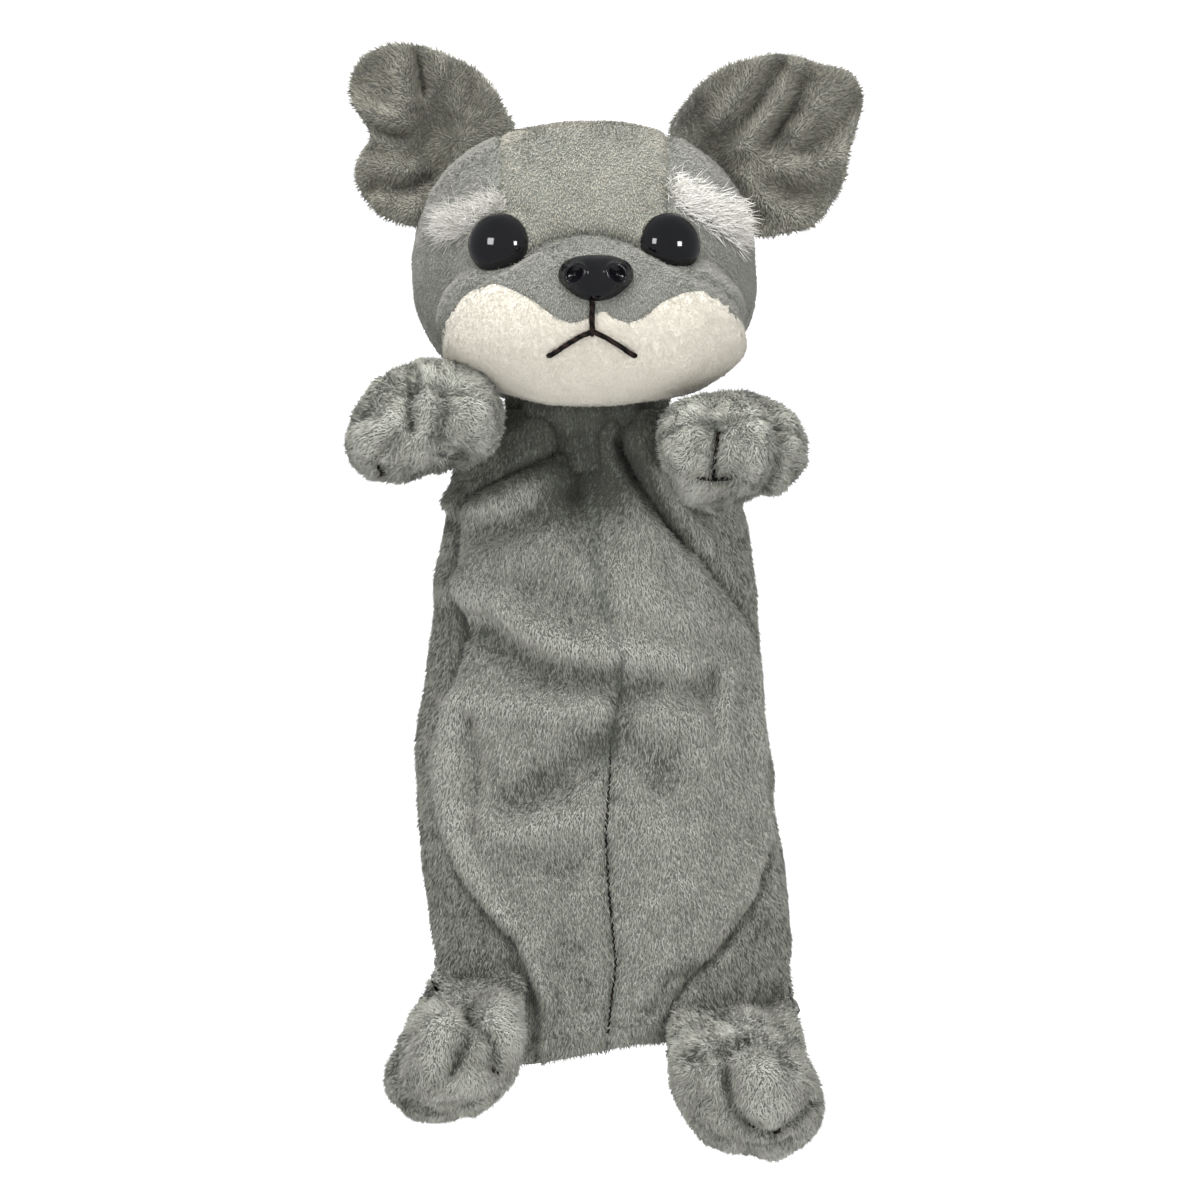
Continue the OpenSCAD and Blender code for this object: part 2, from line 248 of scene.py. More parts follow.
def colour(hex_code):
    """Linear colour from an sRGB hex value."""
    parts = [int(hex_code[i : i + 2], 16) / 255 for i in (1, 3, 5)]
    return [c / 12.92 if c <= 0.04045 else ((c + 0.055) / 1.055) ** 2.4 for c in parts] + [1]


def add(tree, kind, inputs=None, **settings):
    """A node with its settings, and with its inputs set to values or linked to other nodes' outputs."""
    made = tree.nodes.new(kind)
    for key, value in settings.items():
        setattr(made, key, value)
    for key, value in (inputs or {}).items():
        if isinstance(value, bpy.types.NodeSocket):
            tree.links.new(value, made.inputs[key])
        else:
            made.inputs[key].default_value = value
    return made


def blank_material(name):
    """A new material's node tree, its Object coordinates and its Principled shader."""
    material = bpy.data.materials.new(name)
    material.use_nodes = True
    tree = material.node_tree
    shader = tree.nodes["Principled BSDF"]
    return material, tree, add(tree, "ShaderNodeTexCoord").outputs["Object"], shader


def ramp(tree, value, stops):
    """A colour ramp on a value, from stops of [place, colour]."""
    made = add(tree, "ShaderNodeValToRGB", {"Fac": value})
    points = made.color_ramp.elements
    while len(points) < len(stops):
        points.new(1)
    for point, (place, code) in zip(points, stops):
        point.position, point.color = place, colour(code)
    return made.outputs["Color"]


def finish_shader(tree, shader, surface, height, depth, roughness=0.9, **fixed):
    """Links the colour and the bump of a surface, and sets the shader's plain numbers."""
    bump = add(tree, "ShaderNodeBump", {"Height": height, "Strength": 0.6, "Distance": depth * MM})
    tree.links.new(surface, shader.inputs["Base Color"])
    tree.links.new(bump.outputs["Normal"], shader.inputs["Normal"])
    shader.inputs["Roughness"].default_value = roughness
    for key, value in fixed.items():
        shader.inputs[key.replace("_", " ")].default_value = value


def plush_ground(name, dark, light):
    """Knitted ground of plush, felted over by its pile: it is seen only as soft mottling between tufts."""
    material, tree, place, shader = blank_material(name)
    mottle = add(tree, "ShaderNodeTexNoise", {"Vector": place, "Scale": 1 / (9 * MM), "Detail": 3.0})
    fluff = add(tree, "ShaderNodeTexNoise", {"Vector": place, "Scale": 1 / (0.9 * MM), "Detail": 4.0})
    mixed = add(tree, "ShaderNodeMath", {0: mottle.outputs["Fac"], 1: fluff.outputs["Fac"]}, operation="ADD")
    half = add(tree, "ShaderNodeMath", {0: mixed.outputs[0], 1: 0.5}, operation="MULTIPLY")
    surface = ramp(tree, half.outputs[0], [[0.3, dark], [0.7, light]])
    finish_shader(tree, shader, surface, fluff.outputs["Fac"], 0.8, Sheen_Weight=0.2, Sheen_Roughness=0.5)
    return material


def knit_back(name, dark, light):
    """Back of a knitted plush: rows of small loops 1.2 mm apart, flat and dull."""
    material, tree, place, shader = blank_material(name)
    rows = add(tree, "ShaderNodeTexWave", {"Vector": place, "Scale": 1 / (1.2 * 6.3 * MM),
               "Distortion": 1.5, "Detail Scale": 4.0}, bands_direction="Z")
    wales = add(tree, "ShaderNodeTexWave", {"Vector": place, "Scale": 1 / (1.2 * 6.3 * MM),
                "Distortion": 1.5}, bands_direction="X")
    loops = add(tree, "ShaderNodeMath", {0: rows.outputs["Fac"], 1: wales.outputs["Fac"]},
                operation="MULTIPLY")
    surface = ramp(tree, loops.outputs[0], [[0.1, dark], [0.6, light]])
    finish_shader(tree, shader, surface, loops.outputs[0], 0.5)
    return material


def fibre_fill(name):
    """Polyester fibre filling: white and matt, in wisps."""
    material, tree, place, shader = blank_material(name)
    wisps = add(tree, "ShaderNodeTexNoise", {"Vector": place, "Scale": 1 / (6 * MM), "Detail": 6.0,
                "Distortion": 2.0})
    surface = ramp(tree, wisps.outputs["Fac"], [[0.35, "#D6D4CE"], [0.65, "#F4F3EF"]])
    finish_shader(tree, shader, surface, wisps.outputs["Fac"], 2.0)
    return material


def spun_thread(name, dark, light):
    """Twisted polyester thread: two plies that catch a little light on each turn."""
    material, tree, place, shader = blank_material(name)
    plies = add(tree, "ShaderNodeTexWave", {"Vector": place, "Scale": 1 / (0.9 * 6.3 * MM),
                "Distortion": 2.0, "Detail": 1.0}, bands_direction="DIAGONAL")
    surface = ramp(tree, plies.outputs["Fac"], [[0.3, dark], [0.8, light]])
    finish_shader(tree, shader, surface, plies.outputs["Fac"], 0.3, 0.8, Specular_IOR_Level=0.15)
    return material


def moulded_plastic(name, dark, light, roughness, grain):
    """Injection-moulded plastic, polished by its mould, with faint waviness in its shine."""
    material, tree, place, shader = blank_material(name)
    waves = add(tree, "ShaderNodeTexNoise", {"Vector": place, "Scale": 1 / (grain * MM), "Detail": 2.0})
    surface = ramp(tree, waves.outputs["Fac"], [[0.35, dark], [0.65, light]])
    finish_shader(tree, shader, surface, waves.outputs["Fac"], 0.04, roughness, IOR=1.5,
                  Specular_IOR_Level=0.5)
    return material


def pile_shades(name, codes, roughness=0.85):
    """Plain shades of fibre, one for each kind of tuft: together they give the plush its streaks, and the
    darker ones also serve as painted shade where the pile lies in hollows, seams and shadow.
    """
    shades = []
    for number, code in enumerate(codes, 1):
        material, _, _, shader = blank_material(f"{name}_{number}")
        shader.inputs["Base Color"].default_value = colour(code)
        shader.inputs["Roughness"].default_value = roughness
        shader.inputs["Specular IOR Level"].default_value = 0.25
        shader.inputs["Sheen Weight"].default_value = 0.15
        shader.inputs["Sheen Roughness"].default_value = 0.4
        shades.append(material)
    return shades


# The grey and ear grounds are set darker than their pile: painted shade between the tufts' roots.
GREY_GROUND = plush_ground("grey_plush_ground", "#5C5E58", "#777A73")
EAR_GROUND = plush_ground("ear_plush_ground", "#4C4D48", "#64645E")
WHITE_GROUND = plush_ground("white_plush_ground", "#C4BEB1", "#D6D1C5")
LINING = knit_back("knitted_back_of_the_plush", "#5F605B", "#8B8C86")
FILLING = fibre_fill("polyester_filling")
GREY_THREAD = spun_thread("grey_spun_thread", "#5A5B54", "#82837B")
DARK_THREAD = spun_thread("dark_brown_spun_thread", "#0B0807", "#241A17")
EYE_PLASTIC = moulded_plastic("black_glossy_eye_plastic", "#040406", "#0A090D", 0.06, 9)
NOSE_PLASTIC = moulded_plastic("black_glossy_nose_plastic", "#060608", "#0E0D12", 0.14, 5)
WASHER_PLASTIC = moulded_plastic("white_washer_plastic", "#DAD9D2", "#EDECE6", 0.45, 4)

# The first body shade is painted shade, worn by the tufts under the chin, round the neck and in deep folds.
BODY_SHADES = pile_shades("body_pile", ["#54554E", "#808077", "#93938A", "#A1A198", "#AFAFA6"])
HEAD_SHADES = pile_shades("head_pile", ["#7C7B74", "#83827B", "#8A8982", "#919089", "#989790"])
CROWN_SHADES = pile_shades("crown_pile", ["#8B887C", "#928F83", "#99968A", "#A09D91", "#A7A498"])
EAR_SHADES = pile_shades("ear_pile", ["#5E5C51", "#6C6A5F", "#7A786D", "#87857A", "#959388"])
WHITE_SHADES = pile_shades("white_pile", ["#C5BFB1", "#C9C3B6", "#CDC7BB", "#D1CCC0", "#D5D0C5"])


# ---------------------------------------------------------------- pile


class Coat:
    """How a plush is finished: tufts per square millimetre, their length and width, how far they stand
    up, how unruly they are, their shades, and the ground they stand on."""

    def __init__(self, density, length, width, lift, wild, shades, ground, slot="grey_plush"):
        self.density, self.length, self.width = density, length, width
        self.lift, self.wild, self.shades = lift, wild, shades
        self.ground, self.slot = ground, slot


BODY_COAT = Coat(4.0, 1.8, 0.48, 0.36, 0.30, BODY_SHADES, GREY_GROUND)
HEAD_COAT = Coat(4.2, 1.0, 0.46, 0.40, 0.26, HEAD_SHADES, GREY_GROUND)
CROWN_COAT = Coat(4.2, 1.0, 0.46, 0.40, 0.26, CROWN_SHADES, GREY_GROUND)
EAR_COAT = Coat(3.6, 1.8, 0.48, 0.36, 0.34, EAR_SHADES, EAR_GROUND)
PAW_COAT = Coat(3.8, 2.0, 0.50, 0.38, 0.36, BODY_SHADES, GREY_GROUND)
WHITE_COAT = Coat(4.2, 0.9, 0.46, 0.40, 0.24, WHITE_SHADES, WHITE_GROUND, "white_plush")


def pile_tree(coat, seed):
    """Node tree that stands small closed tufts on a cloth, laid over along its nap."""
    tree = bpy.data.node_groups.new("pile", "GeometryNodeTree")
    tree.interface.new_socket("Cloth", in_out="INPUT", socket_type="NodeSocketGeometry")
    tree.interface.new_socket("Pile", in_out="OUTPUT", socket_type="NodeSocketGeometry")
    cloth = add(tree, "NodeGroupInput").outputs[0]
    thick = add(tree, "GeometryNodeInputNamedAttribute", {"Name": "thick"}, data_type="FLOAT")
    nap = add(tree, "GeometryNodeInputNamedAttribute", {"Name": "nap"}, data_type="FLOAT_VECTOR")
    dark = add(tree, "GeometryNodeInputNamedAttribute", {"Name": "dark"}, data_type="FLOAT")
    roots = add(tree, "GeometryNodeDistributePointsOnFaces",
                {"Mesh": cloth, "Distance Min": 0.3 * MM, "Density Max": coat.density / MM**2,
                 "Density Factor": thick.outputs[0], "Seed": seed}, distribute_method="POISSON")
    up = add(tree, "ShaderNodeVectorMath", {0: roots.outputs["Normal"], "Scale": coat.lift},
             operation="SCALE")
    along = add(tree, "ShaderNodeVectorMath", {0: nap.outputs[0], "Scale": 1 - coat.lift},
                operation="SCALE")
    stray = add(tree, "FunctionNodeRandomValue", {0: (-coat.wild,) * 3, 1: (coat.wild,) * 3,
                "Seed": seed + 1}, data_type="FLOAT_VECTOR")
    lean = add(tree, "ShaderNodeVectorMath", {0: up.outputs[0], 1: along.outputs[0]}, operation="ADD")
    way = add(tree, "ShaderNodeVectorMath", {0: lean.outputs[0], 1: stray.outputs[0]}, operation="ADD")
    turn = add(tree, "FunctionNodeAlignRotationToVector", {"Vector": way.outputs[0]}, axis="Z")
    size = add(tree, "FunctionNodeRandomValue", {0: (0.75, 0.75, 0.6), 1: (1.25, 1.25, 1.3),
               "Seed": seed + 2}, data_type="FLOAT_VECTOR")
    kept_normal = add(tree, "GeometryNodeStoreNamedAttribute",
                      {"Geometry": roots.outputs["Points"], "Name": "root_normal",
                       "Value": roots.outputs["Normal"]}, data_type="FLOAT_VECTOR", domain="POINT")
    # Large patches of lighter and darker tufts are painted sheen of the brushed nap; a random tone for each
    # tuft lies on top of it.
    nap_sheen_patches = add(tree, "ShaderNodeTexNoise", {"Scale": 1 / (7 * MM), "Detail": 2.0})
    draw = add(tree, "FunctionNodeRandomValue", {2: -1.3, 3: 1.3, "Seed": seed + 3}, data_type="FLOAT")
    sheen_patch = add(tree, "ShaderNodeMath", {0: nap_sheen_patches.outputs["Fac"], 1: 3.0, 2: 0.5},
                operation="MULTIPLY_ADD")
    mixed = add(tree, "ShaderNodeMath", {0: sheen_patch.outputs[0], 1: draw.outputs[1]}, operation="ADD")
    # dark is painted shade: it turns tufts in hollows, seams and shadowed places to darker shades.
    shaded = add(tree, "ShaderNodeMath", {0: mixed.outputs[0], 1: dark.outputs[0]}, operation="SUBTRACT")
    whole = add(tree, "FunctionNodeFloatToInt", {0: shaded.outputs[0]}, rounding_mode="ROUND")
    limit = add(tree, "ShaderNodeClamp", {"Value": whole.outputs[0], "Min": 0.0,
                "Max": len(coat.shades) - 1.0})
    kept_shade = add(tree, "GeometryNodeStoreNamedAttribute",
                     {"Geometry": kept_normal.outputs[0], "Name": "shade", "Value": limit.outputs[0]},
                     data_type="INT", domain="POINT")
    tuft = add(tree, "GeometryNodeMeshCone",
               {"Vertices": 3, "Side Segments": 1, "Radius Top": 0.0,
                "Radius Bottom": coat.width / 2 * MM, "Depth": coat.length * MM}, fill_type="NGON")
    stood = add(tree, "GeometryNodeInstanceOnPoints",
                {"Points": kept_shade.outputs[0], "Instance": tuft.outputs["Mesh"],
                 "Rotation": turn.outputs[0], "Scale": size.outputs[0]})
    real = add(tree, "GeometryNodeRealizeInstances", {"Geometry": stood.outputs[0]})
    shade = add(tree, "GeometryNodeInputNamedAttribute", {"Name": "shade"}, data_type="INT")
    painted = add(tree, "GeometryNodeSetMaterialIndex",
                  {"Geometry": real.outputs[0], "Material Index": shade.outputs[0]})
    add(tree, "NodeGroupOutput", {0: painted.outputs[0]})
    return tree


def grow_pile(cloth_mesh, name, coat, seed):
    """The pile of a cloth as an object of its own, whose tufts take most of their shading from the cloth."""
    obj = new_object(name, cloth_mesh)
    obj.modifiers.new("pile", "NODES").node_group = pile_tree(coat, seed)
    keep_shape(obj)
    mesh = obj.data
    mesh.shade_smooth()
    for number, material in enumerate(coat.shades):
        if number < len(mesh.materials):
            mesh.materials[number] = material
        else:
            mesh.materials.append(material)
    count = len(mesh.vertices)
    ground, own = np.zeros(count * 3, np.float32), np.zeros(count * 3, np.float32)
    mesh.attributes["root_normal"].data.foreach_get("vector", ground)
    mesh.vertices.foreach_get("normal", own)
    mixed = unit(0.8 * ground.reshape(-1, 3) + 0.38 * own.reshape(-1, 3))
    mesh.normals_split_custom_set_from_vertices(mixed)
    for spare in ("root_normal", "shade", "thick", "nap", "dark"):
        if spare in mesh.attributes:
            mesh.attributes.remove(mesh.attributes[spare])
    return obj


def sew_panel(bm, name, coat, fields, seed, depth=CLOTH):
    """A panel of plush in two objects, its cloth and its pile. fields gives the nap, the share of tufts and
    the painted shade at each point, and depth is how thick the cloth is."""
    base = object_from(bm, name + "_base", [])
    points = points_of(bm)
    nap, thick, dark = fields(points, normals_of(bm))
    note(base.data, "nap", nap, "FLOAT_VECTOR")
    note(base.data, "thick", thick)
    note(base.data, "dark", dark)
    pile = grow_pile(base.data.copy(), name + "_pile", coat, seed)
    bpy.data.objects.remove(base)
    cloth = object_from(bm, name, [coat.ground, LINING])
    wall = cloth.modifiers.new("wall", "SOLIDIFY")
    wall.thickness, wall.offset, wall.material_offset = depth * MM, -1, 1
    keep_shape(cloth)
    return cloth, pile


# ---------------------------------------------------------------- sleeve

SLEEVE_H = 178
COLLAR_H = 190  # the gathered collar, drawn in round the neck
NAPE_DROP = 11  # how much lower the collar is at the back, so that the head can look up
ARC_SHARE = 0.8  # arc length on the flattened sleeve, as a share of that on a circle of its half width
# Share of the height, then the half width, half depth and middle in x of the sleeve
OUTLINE = [
    [0.00, 45.2, 20.0, 1], [0.14, 51.5, 21.4, 4], [0.24, 53.2, 22.0, 3.4], [0.33, 53.0, 22.6, 0.5],
    [0.42, 52.2, 23.0, -1.2], [0.67, 49.4, 23.0, -1],
    [0.81, 47.3, 22.1, -1], [0.89, 45.6, 21.2, -1.5], [0.95, 42.6, 19.8, -2], [1.00, 37.0, 18.4, -4],
    [1.03, 32.5, 17.6, -4], [1.07, 27.5, 16.6, -4],
]
# Seams as height and x
BELLY_SEAM = [[0, 2], [17, 3.5], [26, 4.8], [48, 2.6], [66, 1.7], [81, 3], [98, 4.2], [110, 7.5],
              [118, 5.5], [137, 0], [178, -4]]
LEFT_SEAM = [[0, 19.5], [15, 22], [24, 29.3], [30, 35.8], [40, 42.7], [48, 47.9], [63, 51.5],
             [105, 49.5], [113, 48.4], [124, 45.2], [133, 40.5], [144, 32.6], [156, 22], [166, 15.5],
             [178, 9]]
RIGHT_SEAM = [[0, -19], [14, -19], [31, -25], [36, -29], [44, -35.7], [52, -41.8], [64, -45.7],
              [79, -49.5], [85, -49], [96, -47], [105, -44.2], [116, -42.6], [158, -42.3], [165, -38],
              [178, -14]]
# Folds on the front: height, width and line in (x, z)
FOLDS = [
    [3.2, 4.0, (-34, 160.5), (-24, 165), (-13, 170)], [-2.6, 4.5, (-34, 154), (-20, 158), (-8, 164)],
    [2.4, 3.0, (-51, 167), (-42, 161)], [-2.0, 2.5, (-51, 163), (-44, 157)],
    [3.6, 5.0, (-40, 138), (-31, 133), (-22, 126), (-13, 120.5), (-4, 118), (4, 119)],
    [-3.4, 6.0, (-38, 125), (-27, 119), (-14, 112), (4, 111)],
    [-1.6, 7.0, (-20, 137), (-6, 131)],
    [1.8, 5.0, (-38, 104), (-20, 101), (0, 102)],
    [-3.2, 6.0, (5, 95), (-4, 87), (-15, 79), (-26, 74)],
    [2.0, 6.5, (-32, 68), (-18, 67), (-3, 70)], [-1.2, 5, (-20, 54), (-6, 56)],
    [2.2, 5.5, (9, 116), (16, 118), (24, 114)], [-2.6, 4.5, (8, 104), (17, 110), (29, 108)],
    [1.4, 6.0, (10, 98), (22, 99), (34, 97)], [-2.0, 6.5, (13, 88), (20, 84)],
    [-3.4, 2.8, (8, 180), (12.5, 169), (18, 160), (26, 151)], [2.8, 3.0, (16, 172), (23, 160), (30, 151)],
    [-1.8, 2.0, (34, 113), (32, 103), (34, 94)], [1.5, 2.0, (37.5, 112), (36, 100), (37, 90)],
    [-7.0, 12.0, (-7, 190), (-6, 172)], [-1.5, 9.0, (-4, 176), (-4, 156)],
    [1.2, 8.0, (12, 140), (26, 128)], [1.0, 10, (20, 62), (24, 50)],
    [-1.0, 8.0, (-8, 30), (-12, 14)], [0.8, 8.0, (10, 34), (14, 20)],
    [2.6, 3.2, (-44, 104), (-45, 88), (-44, 72), (-41.5, 61)], [-1.8, 2.2, (-39, 98), (-37, 85), (-37, 66)],
    [2.0, 2.4, (-39, 56), (-32, 45), (-26, 38)], [1.6, 2.6, (-22, 30), (-17, 18), (-17.5, 4)],
    [-1.4, 2.2, (-26, 26), (-21.5, 14), (-22, 2)], [-1.8, 2.5, (15, 12), (19, 20), (26, 26)],
]


def sleeve_size(z):
    """Half width, half depth and middle in x of the sleeve at each height."""
    return [track(z / SLEEVE_H, OUTLINE, 0.02, column) for column in (1, 2, 3)]


def seam_angle(z, seam):
    """Angle round the sleeve of a seam at each height: 0 is the front, 90 the puppet's left side."""
    half, _, middle = sleeve_size(z)
    return np.degrees(np.arcsin(np.clip((track(z, seam, spread=2) - middle) / half, -0.98, 0.98)))


def seam_gaps(angle, z):
    """How far each point of the sleeve is from the belly seam, both side seams and the back seam."""
    half, _, _ = sleeve_size(z)
    to_mm = np.radians(1) * half * ARC_SHARE
    seams = [np.abs(angle - seam_angle(z, seam)) * to_mm for seam in (BELLY_SEAM, LEFT_SEAM, RIGHT_SEAM)]
    return *seams, (180 - np.abs(angle)) * to_mm


def sleeve_point(angle, z, off=0.0):
    """A point of the puffed and folded sleeve."""
    turn = np.radians(angle)
    half_w, half_d, middle = sleeve_size(z)
    x = middle + half_w * np.sin(turn)
    front = soft_step(np.cos(turn) * 2.2 + 0.2)
    belly, left, right, back = seam_gaps(angle, z)
    push = 1.3 * front * strokes_height(np.stack([x, z], 1), FOLDS)
    room = np.column_stack([x, -half_d * np.cos(turn), z])
    push += (1 - front) * (1.6 * wander(room, 60, 3) + 1.1 * wander(room * [1, 1, 2], 34, 4))
    push += 0.5 * wander(room, 16, 5)
    push -= 1.5 * hump(belly, 1.6) * soft_step((120 - z) / 10 + 0.4)
    push -= 3.0 * hump(left, 2.2) + 3.0 * hump(right, 2.2)
    push -= 1.8 * hump(back, 1.8)
    push += 1.6 * hump(left - 6, 4) * (angle < seam_angle(z, LEFT_SEAM)) * front
    push += 1.0 * hump(right - 6, 4) * (angle > seam_angle(z, RIGHT_SEAM)) * front
    push -= 1.0 * hump(z, 3)
    push += off
    hem = hump(z, 14) * (np.sin(np.radians(angle) * 5 + 0.6) + 0.12 * (x + 4))
    x = x + push * np.sin(turn)
    y = -half_d * np.cos(turn) - push * np.cos(turn)
    low_nape = NAPE_DROP * soft_step(-np.cos(turn) * 1.6 + 0.2) * soft_step((z - 168) / 22)
    return np.column_stack([x, y, z + hem - low_nape])


def sleeve_grid():
    """The sleeve unrolled, as (angle, height), and cut along its seams."""
    bm = bmesh.new()
    bmesh.ops.create_grid(bm, x_segments=170, y_segments=108, size=1)
    bmesh.ops.scale(bm, vec=(180, COLLAR_H / 2, 1), verts=bm.verts)
    bmesh.ops.translate(bm, vec=(0, COLLAR_H / 2, 0), verts=bm.verts)
    for seam in (BELLY_SEAM, LEFT_SEAM, RIGHT_SEAM):
        cut_along(bm, lambda p, s=seam: (p[:, 0] - seam_angle(p[:, 1], s)) * ARC_SHARE)
    return bm


def sleeve_fields(flat):
    """Nap, share of tufts and painted shade for the sleeve, from its unrolled places."""
    gaps = np.minimum.reduce(seam_gaps(flat[:, 0], flat[:, 1]))

    def fields(points, normals):
        nap = np.column_stack([0.18 * wander(points, 40, 11), 0 * points[:, 0], -np.ones(len(points))])
        nap = laid_on(nap, normals)
        hollow = -strokes_height(points[:, [0, 2]], FOLDS) * (normals[:, 1] < 0)
        angle, z = flat[:, 0], flat[:, 1]
        behind = (angle > seam_angle(z, LEFT_SEAM)) | (angle < seam_angle(z, RIGHT_SEAM))
        chin_shadow = hump(points[:, 0] + 6, 24) * soft_step((z - 152) / 26)
        # Painted shade: darker tufts in the folds' hollows and the seam grooves, on the back panels facing
        # away from the light, and a painted shadow of the chin on the chest.
        dark = np.clip(hollow, -2.5, 3) * 0.5 + 1.3 * hump(gaps, 1.5)
        dark += 0.8 * behind + 3.2 * chin_shadow * (normals[:, 1] < 0.3)
        return nap, 1 - 0.85 * hump(gaps, 0.7), dark

    return fields


def make_sleeve():
    whole = sleeve_grid()
    tube_of_cloth = whole.copy()
    move_to(tube_of_cloth, sleeve_point(*points_of(whole)[:, :2].T))
    SURFACES["sleeve"] = BVHTree.FromBMesh(tube_of_cloth)
    panels = {
        "belly_left": ("belly_panel_left", BELLY_SEAM, LEFT_SEAM, (0.056, 0.192), 0.0077),
        "belly_right": ("belly_panel_right", RIGHT_SEAM, BELLY_SEAM, (0.060, 0.192), 0.0087),
        "back_left": ("back_panel_left", LEFT_SEAM, None, (0.088, 0.192), 0.0149),
        "back_right": ("back_panel_right", None, RIGHT_SEAM, (0.088, 0.192), 0.0149),
    }
    for seed, (name, (node, start, stop, cut, area)) in enumerate(panels.items()):
        def keep(p, start=start, stop=stop):
            low = seam_angle(p[:, 1], start) if start else -181
            high = seam_angle(p[:, 1], stop) if stop else 181
            return (p[:, 0] > low) & (p[:, 0] < high)

        bm = part_of(whole, keep)
        flat = points_of(bm)[:, :2]
        move_to(bm, sleeve_point(flat[:, 0], flat[:, 1]))
        face_along(bm, lambda middle: Vector((middle.x, middle.y, 0)))
        cloth, pile = sew_panel(bm, name, BODY_COAT, sleeve_fields(flat), 100 + 10 * seed)
        for piece in (cloth, pile):
            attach(piece, "torso")
        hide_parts(node)


# ---------------------------------------------------------------- head

HEAD_MIDDLE = np.array([-4.6, 2.0, 232.0])
MUZZLE_MIDDLE = np.array([-2.0, -30.0, 215.0])
HEAD_HALF, HEAD_RADIUS = 50.5, 41.0  # half length along x, and radius about it
MUZZLE_HALF, MUZZLE_RADIUS = 45, 23.5
OVAL_POWER = 2.3  # 2 is an ellipse, and more is squarer
GUSSET = 24.6  # half width of the crown between its seams
EYE_HOLD = 8.4  # radius over which an eye presses the cloth down
MOST_SUNK = -1.6  # the filling is only the cloth's thickness below
OFF_PANEL = 50  # a field's value where a cut is not wanted
# Outline of the muzzle and top of its white cloth from the front, in (x, z)
MUZZLE_LINE = [(-48, 204), (-46.5, 211), (-44.8, 217), (-41.2, 223), (-35, 227.5), (-27.8, 231),
               (-20.6, 236), (-15.4, 239), (-7.2, 241.3), (-1, 241.4), (8.3, 239), (13.5, 236.4),
               (19.7, 233), (25.9, 229.8), (34.1, 226), (40, 221), (43.5, 214), (45, 206), (44, 190),
               (30, 170), (-30, 170), (-46, 190)]
WHITE_LINE = [(-70, 212), (-47, 213.5), (-43, 219), (-38.1, 224.4), (-30.9, 226.3), (-24.7, 224.4),
              (-18.5, 220.8), (-13.4, 216.7), (-8.2, 214.8), (-4.1, 216), (-1, 218), (1.1, 218.7),
              (3.2, 216.7), (8.3, 214.8), (13.5, 216.7), (17.6, 220.8), (23.8, 223.7), (29, 224.4),
              (35.2, 221.8), (41.3, 215.6), (45, 210), (70, 209)]
EYES = {"left": np.array([20.55, -34.7, 238.5]), "right": np.array([-29.75, -34.7, 238.5])}


def eye_way(side):
    return unit(np.array([0.3 if side == "left" else -0.3, -1, 0.16]))


def oval_share(offset, half_len, radius):
    """Below 1 inside an oval about the x axis, and above 1 outside it."""
    across = np.hypot(offset[:, 1], offset[:, 2])
    return (np.abs(offset[:, 0]) / half_len) ** OVAL_POWER + (across / radius) ** OVAL_POWER


def muzzle_reach(ways):
    """How far the muzzle reaches from the middle of the head along each way, or 0 where it is missed."""
    best = np.zeros(len(ways))
    for t in np.arange(20, 74, 0.25):
        share = oval_share(ways * t + HEAD_MIDDLE - MUZZLE_MIDDLE, MUZZLE_HALF, MUZZLE_RADIUS)
        best = np.where(share <= 1, t, best)
        near = np.abs(share - 1) < 0.03
        best = np.where(near & (share > 1), np.maximum(best, t - 0.1), best)
    return best


def muzzle_field(points):
    """Below 0 on the muzzle and above 0 off it, in millimetres from its seam."""
    outline = outline_field(points[:, [0, 2]], MUZZLE_LINE)
    return np.maximum(outline, (points[:, 1] + 13) * 0.9)


def white_field(points):
    return points[:, 2] - track(points[:, 0], WHITE_LINE, spread=0.8)


def ear_seam_field(points):
    """Distance from the seam that runs behind the ears and under the cheeks, above 0 in front of it."""
    p = points - HEAD_MIDDLE
    turn = np.degrees(np.arctan2(p[:, 2], -p[:, 1]))  # 0 is the front and 90 the top
    turn = np.where(turn < -90, turn + 360, turn)
    top = (130 - turn) * np.radians(1) * HEAD_RADIUS
    under = (turn + 62) * np.radians(1) * HEAD_RADIUS
    return np.minimum(top, under)


def head_surface(ways):
    """The plain stuffed head with its muzzle; its eye dents and seams are pressed in later."""
    r_head = oval_share(ways, HEAD_HALF, HEAD_RADIUS) ** (-1 / OVAL_POWER)
    r_muzzle = muzzle_reach(ways)
    reach = np.maximum(r_head, r_muzzle)
    blend = hump(r_head - r_muzzle, 2.5) * (r_muzzle > 0)
    points = HEAD_MIDDLE + ways * (reach + 0.4 * blend)[:, None]
    points[:, 2] += 2.0 * soft_step((points[:, 2] - 246) / 26)
    return points


def head_push(points):
    """How far the head's cloth stands out from its plain shape."""
    gap_muzzle = np.abs(muzzle_field(points))
    off_muzzle = muzzle_field(points) > 0
    front = points[:, 1] < 10
    push = -1.5 * hump(gap_muzzle, 1.4) * (points[:, 1] < -8)
    push += 0.9 * hump(gap_muzzle - 4, 3) * ~off_muzzle
    seam_x = np.abs(np.abs(points[:, 0] - HEAD_MIDDLE[0]) - GUSSET)
    depth = np.where(points[:, 0] > HEAD_MIDDLE[0], 1.5, 0.9)
    push -= depth * hump(seam_x, 1.3) * off_muzzle * (ear_seam_field(points) > 0)
    push -= 1.6 * hump(np.abs(ear_seam_field(points)), 1.5) * off_muzzle
    push -= 1.4 * hump(points[:, 0] - HEAD_MIDDLE[0], 1.4) * (ear_seam_field(points) < 0)
    for side, place in EYES.items():
        out = eye_way(side)
        rel = points - place
        depth = rel @ out
        away = np.linalg.norm(rel - depth[:, None] * out, axis=1)
        held = hump(np.maximum(away - EYE_HOLD, 0), 1.6) * (points[:, 1] < -15)
        push -= held * np.clip(depth - 0.6, -1.5, 4) * (muzzle_field(points) > 0)
    push += 0.5 * wander(points, 30, 21) + 0.18 * wander(points, 9, 22) * front
    return np.maximum(push, MOST_SUNK)


